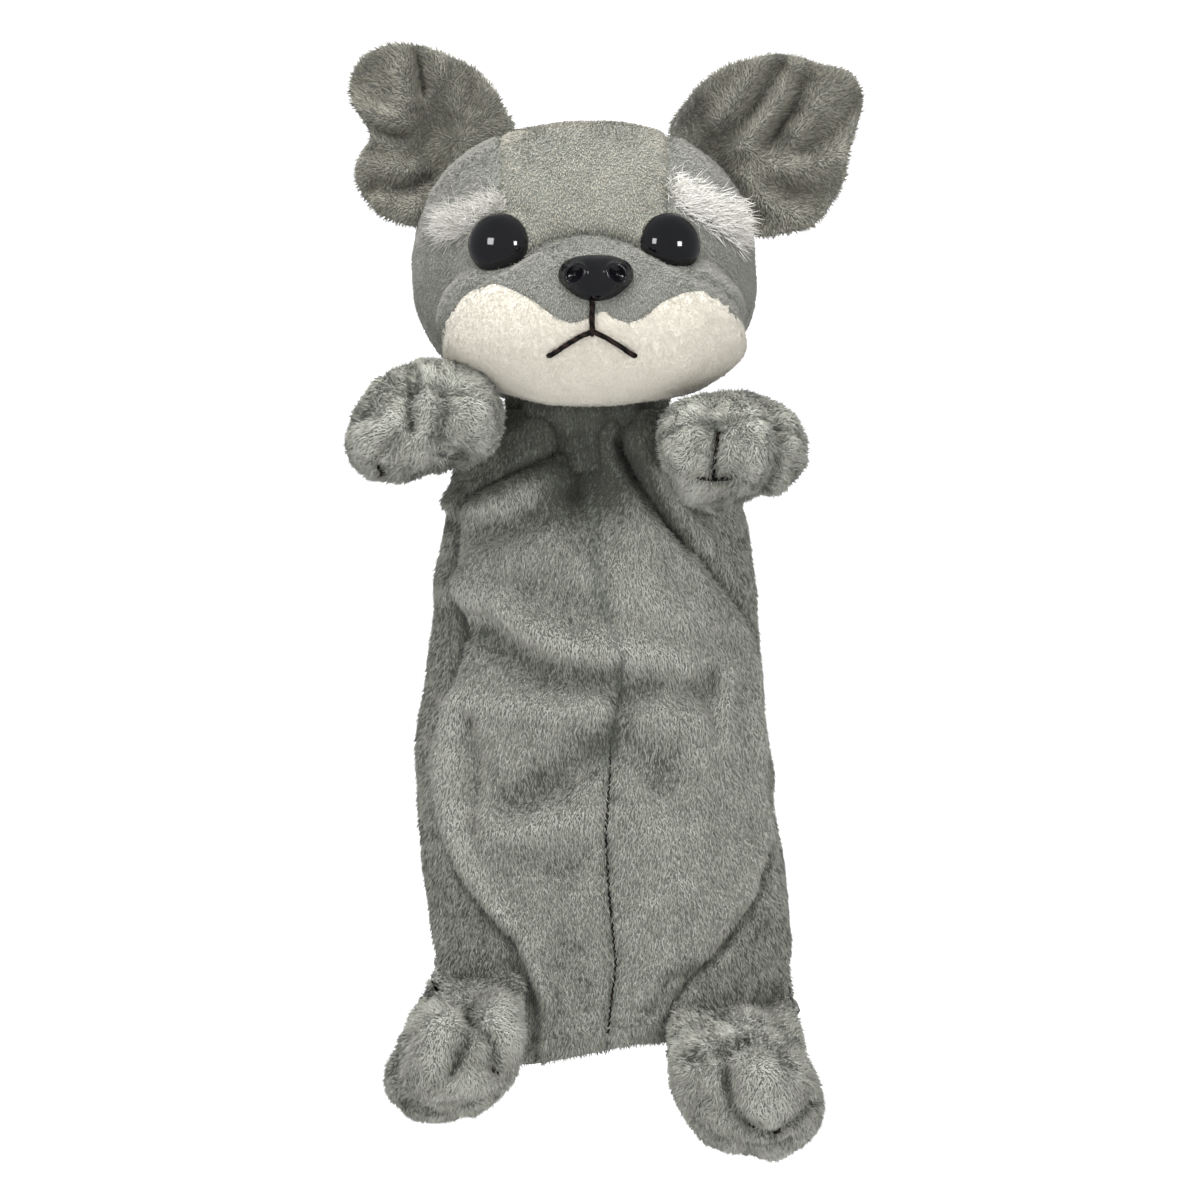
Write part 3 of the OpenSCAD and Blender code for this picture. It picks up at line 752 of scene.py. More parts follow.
def head_fields(points, normals):
    nap = np.column_stack([0.25 * wander(points, 30, 31), -0.2 + 0 * points[:, 0], -np.ones(len(points))])
    nap = laid_on(nap, normals)
    seam_x = np.abs(np.abs(points[:, 0] - HEAD_MIDDLE[0]) - GUSSET)
    off = muzzle_field(points)
    gaps = np.where((off > 0) & (ear_seam_field(points) > 0), seam_x, 99)
    gaps = np.minimum(gaps, np.abs(off))
    gaps = np.minimum(gaps, np.where(off > 0, np.abs(ear_seam_field(points)), 99))
    # Painted shade along the seam grooves.
    dark = 1.2 * hump(gaps, 1.2)
    return nap, 1 - 0.8 * hump(gaps, 0.6), dark


def on_muzzle(points):
    return muzzle_field(points) < 0


def on_face(points):
    """Off the muzzle and in front of the seam behind the ears."""
    return ~on_muzzle(points) & (ear_seam_field(points) > 0)


def on_nape(points):
    return ~on_muzzle(points) & (ear_seam_field(points) <= 0)


def aside(points):
    """Distance from the middle of the head towards the puppet's left."""
    return points[:, 0] - HEAD_MIDDLE[0]


def make_head():
    bm = new_ball(6)
    ways = unit(points_of(bm))
    move_to(bm, head_surface(ways))
    cut_along(bm, muzzle_field)
    cut_along(bm, lambda p: np.where(muzzle_field(p) < 0, white_field(p), 5))
    for side in (1, -1):
        cut_along(bm, lambda p, s=side: np.where((muzzle_field(p) > 0) & (ear_seam_field(p) > 0),
                                                 aside(p) - s * GUSSET, OFF_PANEL))
    cut_along(bm, lambda p: np.where(muzzle_field(p) > 0, ear_seam_field(p), OFF_PANEL))
    cut_along(bm, lambda p: np.where(ear_seam_field(p) < 0, aside(p), OFF_PANEL))
    points = points_of(bm)
    push = head_push(points)
    move_to(bm, points + normals_of(bm) * push[:, None])
    SURFACES["head"] = BVHTree.FromBMesh(bm)
    panels = {
        "muzzle_bridge_plush": ("muzzle_bridge", HEAD_COAT, lambda p: on_muzzle(p) & (white_field(p) > 0)),
        "muzzle_chin_plush": ("muzzle_chin", WHITE_COAT, lambda p: on_muzzle(p) & (white_field(p) <= 0)),
        "crown": ("crown_panel", CROWN_COAT, lambda p: on_face(p) & (np.abs(aside(p)) < GUSSET)),
        "cheek_left": ("face_side_left", HEAD_COAT, lambda p: on_face(p) & (aside(p) > GUSSET)),
        "cheek_right": ("face_side_right", HEAD_COAT, lambda p: on_face(p) & (aside(p) < -GUSSET)),
        "nape_left": ("head_back_left", HEAD_COAT, lambda p: on_nape(p) & (aside(p) > 0)),
        "nape_right": ("head_back_right", HEAD_COAT, lambda p: on_nape(p) & (aside(p) <= 0)),
    }
    for seed, (name, (node, coat, keep)) in enumerate(panels.items()):
        part = part_of(bm, keep)
        cloth, pile = sew_panel(part, name, coat, head_fields, 200 + 10 * seed)
        for piece in (cloth, pile):
            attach(piece, "head")
        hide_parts(node)


# ---------------------------------------------------------------- limbs

PILE_ROOM = 1.3  # how far the pile stands out past the cloth at an outline
BINS = 90  # directions about a limb's middle in which its plain reach is measured
THIGH_DEPTH = 11  # thickness of the thigh where it is sewn flat
FILLING_SHARE = 0.68  # how far the filling reaches from the core towards the cloth


class Limb:
    """A stuffed arm or leg: its two ends and radii, its outline from the front and the folds on it."""

    def __init__(self, body, start, end, r0, r1, middle, outline, folds, nodes, stitches):
        self.body, self.start, self.end = body, np.array(start, float), np.array(end, float)
        self.r0, self.r1, self.middle, self.outline = r0, r1, np.array(middle, float), outline
        self.folds, self.nodes, self.stitches = folds, nodes, stitches


LIMBS = [
    Limb("arm_left", (37, -18, 163), (39.5, -40, 177), 13, 17.5, (38, 178),
         [(16.8, 179), (17.1, 186), (20.1, 189.8), (25.1, 193.1), (33.2, 195.3), (40.3, 196.1), (45.3, 195.6),
          (50.3, 193.1), (56.3, 189.1), (60.4, 184), (62.2, 178.5), (60.4, 172.5), (56.3, 168), (52.3, 165.2),
          (45.3, 162.6), (40.2, 160.8), (30.2, 158.9), (24.1, 162.9), (20.1, 168), (17.6, 175)],
         [[-2.2, 1.6, (34.6, 184), (33.6, 177), (33.2, 170)], [-1.2, 1.2, (27, 170), (41, 169)],
          [-1.0, 1.2, (31, 184.5), (35, 184)],
          [-1.7, 2.0, (44, 194), (50, 188), (52.6, 181), (51, 172), (46, 164)],
          [2.0, 4.0, (45, 187), (47, 179), (45, 171)], [2.0, 4.5, (26, 188), (23, 177), (27, 167)],
          [-1.2, 2.0, (57, 188), (59, 180), (57, 172)], [1.5, 3, (56, 190), (57.5, 178)]],
         ("arm_left_back", "arm_left_palm", "arm_left_stuffing"),
         ("paw_left_stitches", [[(34.8, 183.6), (34.2, 178), (33.2, 172), (33.1, 169.4)],
                                [(28, 170), (33, 169.4), (39, 169.8)]])),
    Limb("arm_right", (-39, -17, 164), (-54, -36, 182), 13, 17.5, (-52, 185),
         [(-75.9, 179.6), (-74.1, 187.6), (-70.7, 194.1), (-64.9, 199.9), (-59.1, 203.4), (-53.2, 205),
          (-46.3, 204.5), (-38.2, 203), (-32.4, 200), (-28.9, 195.9), (-27.1, 190), (-28.3, 183),
          (-31.2, 177.3),
          (-35.9, 173.8), (-42.8, 173), (-50.9, 169.7), (-54.4, 167.9), (-61.5, 167.2), (-68.4, 168.5),
          (-73, 172.6)],
         [[-2.4, 1.8, (-54.7, 201), (-55.4, 192), (-55, 184)], [-2.2, 3.2, (-62, 197), (-70, 188)],
          [-1.8, 1.8, (-46.9, 195), (-45, 189), (-47, 182)], [-2.2, 1.8, (-56, 170), (-48, 172.5),
          (-40, 177)],
          [2.2, 5.0, (-36, 190), (-35.5, 183)], [1.8, 4.5, (-50, 197), (-50, 189)],
          [1.8, 4.5, (-62, 186), (-68, 178)], [-1.6, 1.8, (-60, 182), (-66, 175), (-64, 171)],
          [1.4, 4, (-54, 178), (-48, 180)]],
         ("arm_right_back", "arm_right_palm", "arm_right_stuffing"),
         ("paw_right_stitches", [[(-65.4, 173.4), (-63.9, 171.6), (-62.2, 170.6)],
                                 [(-64.4, 170), (-63.9, 172.4)]])),
    Limb("leg_left", (42, -22, 25), (44, -46.5, -8.5), 15, 21, (43, -4),
         [(22, 16), (20, 6), (19.4, -1), (20.4, -10), (22.6, -17), (27.2, -22.8), (33.2, -27),
          (43.5, -30.2), (52.2, -30.6), (60.8, -26.4), (65.6, -19.4), (66.6, -12.2), (64.2, -6),
          (61, 1), (58.6, 8), (57.5, 18), (56, 30), (48, 37), (40, 38), (32, 34), (26, 26)],
         [[-3.4, 1.8, (26, -0.5), (32, 0.5), (38, 3), (45, 5), (51, 2), (55.5, -3)],
          [-2.2, 1.8, (37.2, 0), (36.8, -8), (38.5, -14), (43.5, -19.5), (51, -22), (57, -18), (61.8, -13)],
          [2.6, 7.0, (48.7, -6), (49.5, -13)], [-1.8, 4.0, (28, 15), (36, 13)],
          [1.6, 3.5, (40, 9), (50, 8)], [-1.4, 2.0, (47, 22), (49.5, 12), (55, 4)],
          [-1.0, 1.8, (51, 26), (53, 16)]],
         ("leg_left_top", "leg_left_sole", "leg_left_stuffing"),
         ("foot_left_stitches", [[(43.6, -19.2), (45.6, -20.4)], [(50, -21.6), (51.4, -21.8), (53, -21.2)],
                                 [(61, -14.6), (62, -13)]])),
    Limb("leg_right", (-38, -22, 25), (-42.5, -46, 1), 15, 21, (-42, 2),
         [(-48.5, 26), (-53.8, 17), (-57.3, 9.4), (-61.4, 1), (-63.4, -6.6), (-61.6, -13.6), (-55.6, -19),
          (-49.5, -20.2), (-41.8, -18.5), (-31.4, -14), (-24.6, -7), (-21.6, -0.5), (-21.8, 6),
          (-22.4, 13), (-21, 22), (-20, 30), (-26, 36), (-34, 38), (-44, 36)],
         [[-1.8, 1.8, (-39.6, 14.6), (-38.3, 5), (-43.5, -4)], [-1.8, 1.8, (-38.5, 13), (-30.6, 3.4),
          (-31, -4.5)],
          [2.4, 4.5, (-47, 9), (-50, 0)], [2.4, 4.0, (-28.5, 13), (-26, 6)], [1.6, 5.0, (-40, -9), (-34, -8)],
          [-1.6, 1.5, (-57, 6), (-60.6, -5), (-57, -14)], [-1.6, 1.5, (-57, -14), (-46, -16.4),
          (-31.4, -10.6)],
          [-2.8, 2.2, (-52, 17), (-46, 22), (-38, 24), (-30, 23.5), (-25, 19)],
          [2.0, 2.5, (-50, 22), (-42, 28), (-34, 29), (-27, 26)], [-2.0, 2.0, (-46, 31), (-38, 34),
          (-30, 31)]],
         ("leg_right_top", "leg_right_sole", "leg_right_stuffing"),
         ("foot_right_stitches", [[(-31.6, -3), (-31, -4.6)], [(-30.8, -5), (-29.6, -4.4)]])),
]


def limb_surface(limb, ways):
    """A smooth bag over a small ball at the joint and a large one at the paw, fitted to its outline."""
    run = limb.end - limb.start
    length = np.linalg.norm(run)
    axis = run / length
    tilt = (limb.r1 - limb.r0) / length
    side = soft_step((ways @ axis + tilt + 0.35) / 0.7)
    points = limb.start + axis * (side * length)[:, None]
    points = points + ways * (limb.r0 + (limb.r1 - limb.r0) * side)[:, None]
    flat = points[:, [0, 2]] - limb.middle
    angle, reach = np.arctan2(flat[:, 1], flat[:, 0]), np.hypot(flat[:, 0], flat[:, 1])
    bins = np.round((angle + math.pi) / (2 * math.pi) * BINS).astype(int) % BINS
    widest = np.zeros(BINS)
    np.maximum.at(widest, bins, reach)
    widest = (np.roll(widest, 1) + widest + np.roll(widest, -1)) / 3
    own = np.interp(angle, (np.arange(BINS) / BINS * 2 - 1) * math.pi, widest, period=2 * math.pi)
    flat *= ((outline_reach(limb.outline, limb.middle)(angle) - PILE_ROOM) / own)[:, None]
    points[:, 0], points[:, 2] = limb.middle[0] + flat[:, 0], limb.middle[1] + flat[:, 1]
    if limb.body.startswith("leg"):
        sink_thigh(limb, points)
    return points


def sink_thigh(limb, points):
    """Presses the top of a leg flat, down onto the sleeve and into it, where the two are sewn together."""
    above = points[:, 2] - limb.end[2]
    drawn, inside = soft_step((above - 8) / 17), soft_step((above - 15) / 14)
    axis = unit(limb.end - limb.start)
    length = np.linalg.norm(limb.end - limb.start)
    along = np.clip((points - limb.start) @ axis, 0, length)
    core = (limb.start + axis * along[:, None])[:, 1]
    radius = limb.r0 + (limb.r1 - limb.r0) * along / length
    share = np.clip((points[:, 1] - core + radius) / (2 * radius), 0, 1)
    for point, pull, deep, part in zip(points, drawn, inside, share):
        if pull > 0:
            hit = SURFACES["sleeve"].ray_cast(Vector((point[0], -200, point[2])), Vector((0, 1, 0)))[0]
            aim = (hit.y if hit else -6) - 6 * (1 - deep) + 4 * deep
            point[1] += pull * (aim + THIGH_DEPTH * part - point[1])


def pull_inside(bm, surface, depth):
    """Moves a mesh's points in until each is at least a depth below a surface."""
    points = points_of(bm)
    for point in points:
        for _ in range(3):
            at, normal, _, _ = SURFACES[surface].find_nearest(Vector(point))
            if (Vector(point) - at).dot(normal) > -depth:
                point[:] = at - normal * (depth + 0.3)
    move_to(bm, points)


def limb_push(limb, points, normals):
    front = soft_step(-normals[:, 1] * 2.2 + 0.3)
    push = 1.3 * front * strokes_height(points[:, [0, 2]], limb.folds)
    push += 0.7 * wander(points, 22, 41) + 0.35 * wander(points, 8, 42)
    side = side_field(limb, points)
    push -= 1.5 * hump(side, 1.5)
    if limb.body.startswith("leg"):
        push *= 1 - 0.85 * soft_step((points[:, 2] - limb.end[2] - 14) / 12)
    return push


def side_field(limb, points):
    """Distance from the seam that runs round a limb, above 0 on its upper side."""
    axis = unit(limb.end - limb.start)
    across = unit(np.cross(axis, [1, 0, 0]))
    return (points - limb.end) @ across


def limb_fields(limb):
    def fields(points, normals):
        axis = unit(limb.end - limb.start)
        ball = points - limb.end
        nap = unit(np.tile(axis * 0.4, (len(points), 1)) + unit(ball) * [0.6, 0, 0.6] + [0, 0, -0.5])
        nap = nap + 0.5 * np.column_stack([wander(points, 9, seed) for seed in (51, 52, 53)])
        nap = laid_on(nap, normals)
        gap = np.abs(side_field(limb, points))
        crease = np.clip(-strokes_height(points[:, [0, 2]], limb.folds), -2, 3) * (normals[:, 1] < 0.1)
        # Painted shade along the seam groove and in the creases.
        dark = 0.9 * hump(gap, 1.2) + 0.85 * crease
        return nap, 1 - 0.7 * hump(gap, 0.6), dark

    return fields


def make_limbs():
    for seed, limb in enumerate(LIMBS):
        bm = new_ball(6)
        move_to(bm, limb_surface(limb, unit(points_of(bm))))
        cut_along(bm, lambda p: side_field(limb, p))
        points = points_of(bm)
        normals = normals_of(bm)
        move_to(bm, points + normals * limb_push(limb, points, normals)[:, None])
        SURFACES[limb.body] = BVHTree.FromBMesh(bm)
        axis = unit(limb.end - limb.start)
        made = []
        for step, (word, node) in enumerate(zip(("upper", "under"), limb.nodes)):
            sign = 1 if word == "upper" else -1
            part = part_of(bm, lambda p: side_field(limb, p) * sign > 0)
            cloth, pile = sew_panel(part, f"{limb.body}_{word}", PAW_COAT, limb_fields(limb),
                                    300 + 20 * seed + 10 * step)
            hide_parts(node)
            made += [cloth, pile]
        inside = new_ball(4)
        outer = limb_surface(limb, unit(points_of(inside)))
        reach = np.clip((outer - limb.start) @ axis, 0, np.linalg.norm(limb.end - limb.start))
        core = limb.start + axis * reach[:, None]
        wisps = core + FILLING_SHARE * (outer - core)
        if limb.body.startswith("leg"):  # it stops where the leg is pressed flat
            wisps[:, 2] -= 0.85 * np.maximum(wisps[:, 2] - limb.end[2] - 5, 0)
        move_to(inside, wisps)
        pull_inside(inside, limb.body, 2 * CLOTH)
        filling = object_from(inside, limb.body + "_filling", [FILLING])
        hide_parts(limb.nodes[2])
        node, lines = limb.stitches
        stitches = thread(node.replace("stitches", "thread"), lines, 0.55, DARK_THREAD, limb.body)
        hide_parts(node)
        for piece in made + [filling, stitches]:
            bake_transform(piece)


# ---------------------------------------------------------------- threads


def front_hit(surface, x, z, lift=0.0):
    """The place on a surface seen at (x, z) from the front, lifted a little off it."""
    hit, normal, _, _ = SURFACES[surface].ray_cast(Vector((x, -200, z)), Vector((0, 1, 0)))
    return np.array(hit if hit else (x, -40, z)) + np.array(normal if hit else (0, -1, 0)) * lift


def tube(name, paths, radius, material):
    """Round thread along paths of points in millimetres."""
    curve = bpy.data.curves.new(name, "CURVE")
    curve.dimensions, curve.bevel_depth, curve.bevel_resolution = "3D", radius * MM, 2
    curve.use_fill_caps = True
    for path in paths:
        line = curve.splines.new("POLY")
        line.points.add(len(path) - 1)
        for point, place in zip(line.points, path):
            point.co = (*(np.array(place) * MM), 1)
    holder = bpy.data.objects.new(name + "_curve", curve)
    mesh = bpy.data.meshes.new_from_object(holder)
    bpy.data.objects.remove(holder)
    mesh.materials.clear()
    mesh.materials.append(material)
    mesh.shade_smooth()
    return new_object(name, mesh)


def thread(name, lines, radius, material, surface, lift=0.4):
    """Thread laid on a surface along lines of (x, z) seen from the front, its ends sunk in."""
    paths = []
    for line in lines:
        line = np.array(line, float)
        steps = np.append(0, np.cumsum(np.linalg.norm(np.diff(line, axis=0), axis=1)))
        at = np.linspace(0, steps[-1], max(5, int(steps[-1] / 0.7)))
        x, z = np.interp(at, steps, line[:, 0]), np.interp(at, steps, line[:, 1])
        sink = hump(np.minimum(at, steps[-1] - at), 0.5)
        paths.append([front_hit(surface, a, b, lift - 1.2 * s) for a, b, s in zip(x, z, sink)])
    return tube(name, paths, radius, material)


def make_face():
    mouth = [[(-2.35, 221.5), (-2.3, 216), (-2.35, 211.6)],
             [(-2.4, 212.6), (-6.4, 210.8), (-11, 208), (-15.1, 205.4)],
             [(-2.2, 212.6), (1.6, 210.9), (6, 208.2), (10.3, 205.4)]]
    lines = thread("mouth", mouth, 0.82, DARK_THREAD, "head", lift=1.0)
    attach(lines, "head")
    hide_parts("mouth_stitches")
    for side in ("left", "right"):
        eye = make_eye(side)
        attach(eye, "head")
        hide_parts("eye_" + side)
    nose = make_nose()
    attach(nose, "head")
    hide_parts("nose")


def turned_to(bm, place, out, up=(0, 0, 1)):
    """Stands a mesh made with its face along +z at a place, looking along out."""
    z = unit(np.array(out, float))
    x = unit(np.cross(np.array(up, float), z))
    turn = np.column_stack([x, np.cross(z, x), z])
    move_to(bm, points_of(bm) @ turn.T + place)


def make_eye(side):
    """Domed safety eye with its rolled rim and post."""
    bm = bmesh.new()
    profile = [(0, 6.9), (2.3, 6.7), (4.5, 6.1), (6.4, 5.0), (8.0, 3.5), (9.0, 1.8), (9.3, 0.5), (9.1, -0.4),
               (8.3, -0.9), (2.1, -1.0), (2.0, -8.4), (0, -8.5)]
    verts = [bm.verts.new((r, 0, z)) for r, z in profile]
    edges = [bm.edges.new(pair) for pair in zip(verts, verts[1:])]
    bmesh.ops.spin(bm, geom=verts + edges, axis=(0, 0, 1), cent=(0, 0, 0), steps=48, angle=2 * math.pi,
                   use_merge=True)
    bmesh.ops.remove_doubles(bm, verts=bm.verts, dist=0.01)
    bmesh.ops.recalc_face_normals(bm, faces=bm.faces)
    turned_to(bm, EYES[side], eye_way(side))
    eye = object_from(bm, "eye_" + side + "_dome", [EYE_PLASTIC])
    eye.modifiers.new("round", "SUBSURF").levels = 1
    eye.modifiers["round"].render_levels = 1
    return keep_shape(eye)


def make_nose():
    """Moulded dog's nose: wide at the top, with two curled nostrils and a groove between them."""
    bm = new_ball(6)
    p = points_of(bm)
    high = np.clip(p[:, 1], -1, 1)
    square = (1 - np.clip(high, 0, 0.98) ** 2.6) ** (1 / 2.6) / np.sqrt(1 - np.clip(high, 0, 0.98) ** 2)
    x = p[:, 0] * 11.1 * square * (1 - 0.13 * soft_step(-high * 1.5))
    y = high * np.where(high > 0, 6.1, 7.8)
    z = p[:, 2] * np.where(p[:, 2] > 0, 6.6, 2.5) - 0.012 * x * x
    front = soft_step(p[:, 2] * 3)
    for sign in (-1, 1):
        away = np.hypot(x - sign * 6.2, y + 0.2 + 0.15 * sign * (x - sign * 6.2))
        z = z - front * 2.2 * hump(away, 1.6)
        z = z + front * 1.1 * hump(away - 2.9, 0.7)
    z = z - front * 0.8 * hump(x, 1.0) * soft_step((0.0 - y) / 3)
    move_to(bm, np.column_stack([x, y, z]))
    turned_to(bm, np.array([-1.2, -51.2, 228.9]), (0, -1, 0.14))
    return object_from(bm, "nose_moulded", [NOSE_PLASTIC])


# ---------------------------------------------------------------- ears


class Ear:
    """A floppy ear: its outline from the front in (x, z), its folds and the middle it is drawn about."""

    def __init__(self, side, fold, way, middle, outline, folds):
        self.side, self.fold, self.way = side, np.array(fold, float), unit(np.array(way, float))
        self.middle, self.outline, self.folds = np.array(middle, float), outline, folds


EARS = [
    Ear("left", (40.5, 2, 263.9), (0.766, 0, 0.643), (50, 268),
        [(19.7, 274.3), (23.8, 280.1), (29, 286.9), (36.2, 292), (44.4, 294.6), (52.7, 296), (58.9, 295.2),
         (65.1, 292.6), (72.3, 291.6), (77, 288), (78.4, 282.7), (77, 275.5), (73.9, 266.2), (73.3, 259),
         (69.2, 250.7), (64, 244), (54.8, 241.4), (46.5, 240.4), (38, 244), (28, 256), (21, 266)],
        [[-5.0, 5.0, (29, 276), (33, 268), (36, 256)], [3.0, 3.4, (34, 274), (40, 283), (47, 292)],
         [-2.8, 3.0, (38, 272), (46, 280), (53, 292)], [3.2, 3.0, (43, 268), (51, 279), (58, 291)],
         [-3.6, 3.2, (50, 270), (57, 279), (59, 287)], [2.6, 3.4, (58, 272), (65, 281), (70, 288)],
         [-2.4, 3.0, (60, 266), (69, 272), (75, 280)], [2.6, 3.6, (52, 262), (62, 262), (71, 264)],
         [-2.6, 3.2, (50, 256), (60, 254), (68, 254)], [2.2, 3.4, (44, 258), (52, 249), (60, 246)],
         [-2.0, 2.4, (41, 250), (47, 246)]]),
    Ear("right", (-43.5, 2, 264.4), (-0.766, 0, 0.643), (-51, 270),
        [(-24, 272.9), (-27.8, 279.6), (-36.6, 291.4), (-45.3, 295.8), (-53.6, 298.4), (-60.3, 299.2),
         (-68, 296.9), (-72.9, 292.5), (-74.8, 285.8), (-73.4, 279.6), (-69.2, 274.6), (-68.4, 269.6),
         (-71.7, 265.2), (-73.4, 259.8), (-71.3, 253.6), (-66, 247.4), (-58.8, 244.2), (-49.5, 243.4),
         (-40, 246), (-31, 256), (-25, 266)],
        [[-3.8, 1.8, (-54, 298), (-53, 291), (-52.2, 284)], [3.0, 3.6, (-60, 296), (-59, 288), (-57, 281)],
         [2.6, 3.6, (-47, 294), (-46, 286), (-43, 279)], [-4.6, 8.0, (-46, 278), (-50, 264)],
         [-3.0, 2.2, (-70.5, 274), (-64, 272), (-58, 271)], [2.6, 3.0, (-71, 278.5), (-64, 277), (-58, 275)],
         [2.6, 3.6, (-70, 263), (-62, 262), (-56, 261)], [-2.2, 2.6, (-66, 256), (-58, 256), (-50, 258)],
         [2.2, 3.2, (-62, 250), (-54, 249.5)], [1.8, 3.0, (-34, 284), (-40, 274), (-42, 262)],
         [-1.6, 2.0, (-38, 290), (-37, 280)]]),
]


def ear_layer(ear, face):
    """One layer of an ear. face is -1 for the front and 1 for the back; the two meet at the rim."""
    bm = bmesh.new()
    bmesh.ops.create_grid(bm, x_segments=56, y_segments=56, size=1)
    square = points_of(bm)
    disc = np.column_stack([square[:, 0] * np.sqrt(1 - square[:, 1] ** 2 / 2),
                            square[:, 1] * np.sqrt(1 - square[:, 0] ** 2 / 2)])
    angle, share = np.arctan2(disc[:, 1], disc[:, 0]), np.hypot(disc[:, 0], disc[:, 1])
    reach = (outline_reach(ear.outline, ear.middle)(angle) - 1.0) * share
    flat = ear.middle + np.column_stack([np.cos(angle) * reach, np.sin(angle) * reach])
    full = 1 - share**6
    depth = -strokes_height(flat, ear.folds) * (0.35 + 0.65 * full)
    depth += 3.2 * (1 - share**2) - 1.8 * share**4
    thick = 1.3 * np.sqrt(np.clip(1 - share**8, 0, 1)) + 0.1
    depth += 0.5 * wander(np.column_stack([flat, flat[:, 0]]), 14, 61)
    move_to(bm, np.column_stack([flat[:, 0], ear.fold[1] + depth + face * thick, flat[:, 1]]))
    face_along(bm, lambda middle: Vector((0, face, 0)))
    return bm


def ear_fields(ear):
    def fields(points, normals):
        out = points[:, [0, 2]] - ear.fold[[0, 2]]
        nap = unit(np.column_stack([out[:, 0], 0 * out[:, 0], out[:, 1]]) + [0, 0, -6])
        nap = nap + 0.35 * np.column_stack([wander(points, 8, seed) for seed in (62, 63, 64)])
        nap = laid_on(nap, normals)
        hollow = np.clip(-strokes_height(points[:, [0, 2]], ear.folds), -3, 4) * (normals[:, 1] < 0)
        # The last value is painted shade in the hollows of the folds.
        return nap, np.ones(len(points)), 0.28 * hollow

    return fields


def make_ears():
    for seed, ear in enumerate(EARS):
        for step, (word, face) in enumerate((("front", -1), ("back", 1))):
            bm = ear_layer(ear, face)
            name = f"ear_{ear.side}_{word}"
            cloth, pile = sew_panel(bm, name + "_plush", EAR_COAT, ear_fields(ear),
                                    400 + 20 * seed + 10 * step, depth=1.0)
            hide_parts(name)
            for piece in (cloth, pile):
                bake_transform(piece)


# ---------------------------------------------------------------- brows

LONG_WHITE_SHADES = pile_shades("long_white_pile", ["#A9A79F", "#C0BEB6", "#D3D0C9", "#DFDDD7", "#E8E6E2"])
STRANDS = 3200
# Middle line of each brow, in rows of x, z and half height
BROWS = {
    "left": [(20.5, 255.5, 4.4), (25.5, 253, 4.8), (31.5, 250, 5.6), (37.5, 247, 6.2), (42.5, 244, 6.4)],
    "right": [(-28, 251.5, 2.6), (-33, 249.3, 3.6), (-38.5, 246.8, 4.4), (-43, 245.2, 4.6),
              (-46.5, 244.8, 4)],
}


def make_brows():
    """Two tufts of long white pile, each strand a thin bent cone rooted on the forehead."""
    for seed, (side, line) in enumerate(BROWS.items()):
        draw = np.random.default_rng(70 + seed)
        line = np.array(line, float)
        sign = 1 if side == "left" else -1
        strands = bmesh.new()
        shade_of = []
        for _ in range(STRANDS):
            t = draw.uniform(0, len(line) - 1.001)
            *spot, half = line[int(t)] + (line[int(t) + 1] - line[int(t)]) * (t % 1)
            spot = np.array(spot) + [draw.normal() * 0.8, np.clip(draw.normal() * 0.5, -1.15, 1.15) * half]
            root = front_hit("head", *spot, lift=-0.3)
            out = unit(front_hit("head", *spot, lift=0.7) - root)
            stray = draw.uniform() < 0.03
            way = unit(np.array([sign * draw.uniform(-0.1, 1.0), 0, draw.uniform(-0.9, 0.2)])
                       + out * draw.uniform(0.1, 0.4)
                       + (np.array([draw.normal(), 0, abs(draw.normal()) * 1.4]) * 0.9 if stray else 0))
            length = draw.uniform(2.4, 5.6) * (1.5 if stray else 1)
            width = 0.10 if stray else draw.uniform(0.11, 0.22)
            made = bmesh.ops.create_cone(strands, segments=3, radius1=width, radius2=width * 0.2,
                                         depth=length, cap_ends=True)["verts"]
            bend = np.array([0, 0.2, -0.5]) * draw.uniform(0.2, 1)
            side_a = unit(np.cross(way, [0.3, 0.2, 1]))
            side_b = np.cross(way, side_a)
            for v in made:
                h = v.co.z + length / 2
                v.co = root + side_a * v.co.x + side_b * v.co.y + way * h + bend * (h / length) ** 2
            far = t / (len(line) - 1)
            shade_of.append(int(np.clip(draw.normal() * 0.9 + 3.6 - 2.0 * far**2, 0, 4)))
        strands.faces.ensure_lookup_table()
        per = len(strands.faces) // STRANDS
        for number, face in enumerate(strands.faces):
            face.material_index = shade_of[number // per]
        brow = object_from(strands, "brow_" + side + "_strands", LONG_WHITE_SHADES)
        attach(brow, "head")
        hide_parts("brow_" + side)


# ---------------------------------------------------------------- neck and hem


NECK_X, NECK_FOOT, NECK_TALL = -4, 172, 28  # middle in x, lowest point and height


def make_neck():
    """Gathered plush round the fingers, from inside the collar up into the head."""
    bm = bmesh.new()
    bmesh.ops.create_cone(bm, segments=96, radius1=1, radius2=1, depth=1, cap_ends=False)
    bmesh.ops.subdivide_edges(bm, edges=[e for e in bm.edges if abs(e.verts[0].co.z - e.verts[1].co.z) > 0.5],
                              cuts=17)
    p = points_of(bm)
    angle, z = np.arctan2(p[:, 1], p[:, 0]), NECK_FOOT + (p[:, 2] + 0.5) * NECK_TALL
    pleats = 0.8 * np.cos(angle * 13 + 0.6 * np.sin(angle * 3)) * soft_step((z - 180) / 8)
    r = 12.6 + 4.6 * soft_step((z - 182) / 9) + pleats
    wide = 1 + 0.35 * soft_step((z - 181) / 6)
    move_to(bm, np.column_stack([NECK_X + wide * r * np.cos(angle), r * np.sin(angle), z]))
    face_along(bm, lambda middle: Vector((middle.x - NECK_X, middle.y, 0)))

    # The whole neck takes the darkest shades of pile: painted shade under the head.
    def fields(points, normals):
        return np.tile([0, 0, -1.0], (len(points), 1)), np.ones(len(points)), np.full(len(points), 3.0)

    cloth, pile = sew_panel(bm, "neck_gathers", BODY_COAT, fields, 500, depth=1.6)
    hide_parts("neck_sleeve")
    for piece in (cloth, pile):
        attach(piece, "neck")


HEM_STITCH, HEM_STEP, HEM_LINE = 3.1, 5.0, 6.5  # length and spacing in degrees, and height in mm


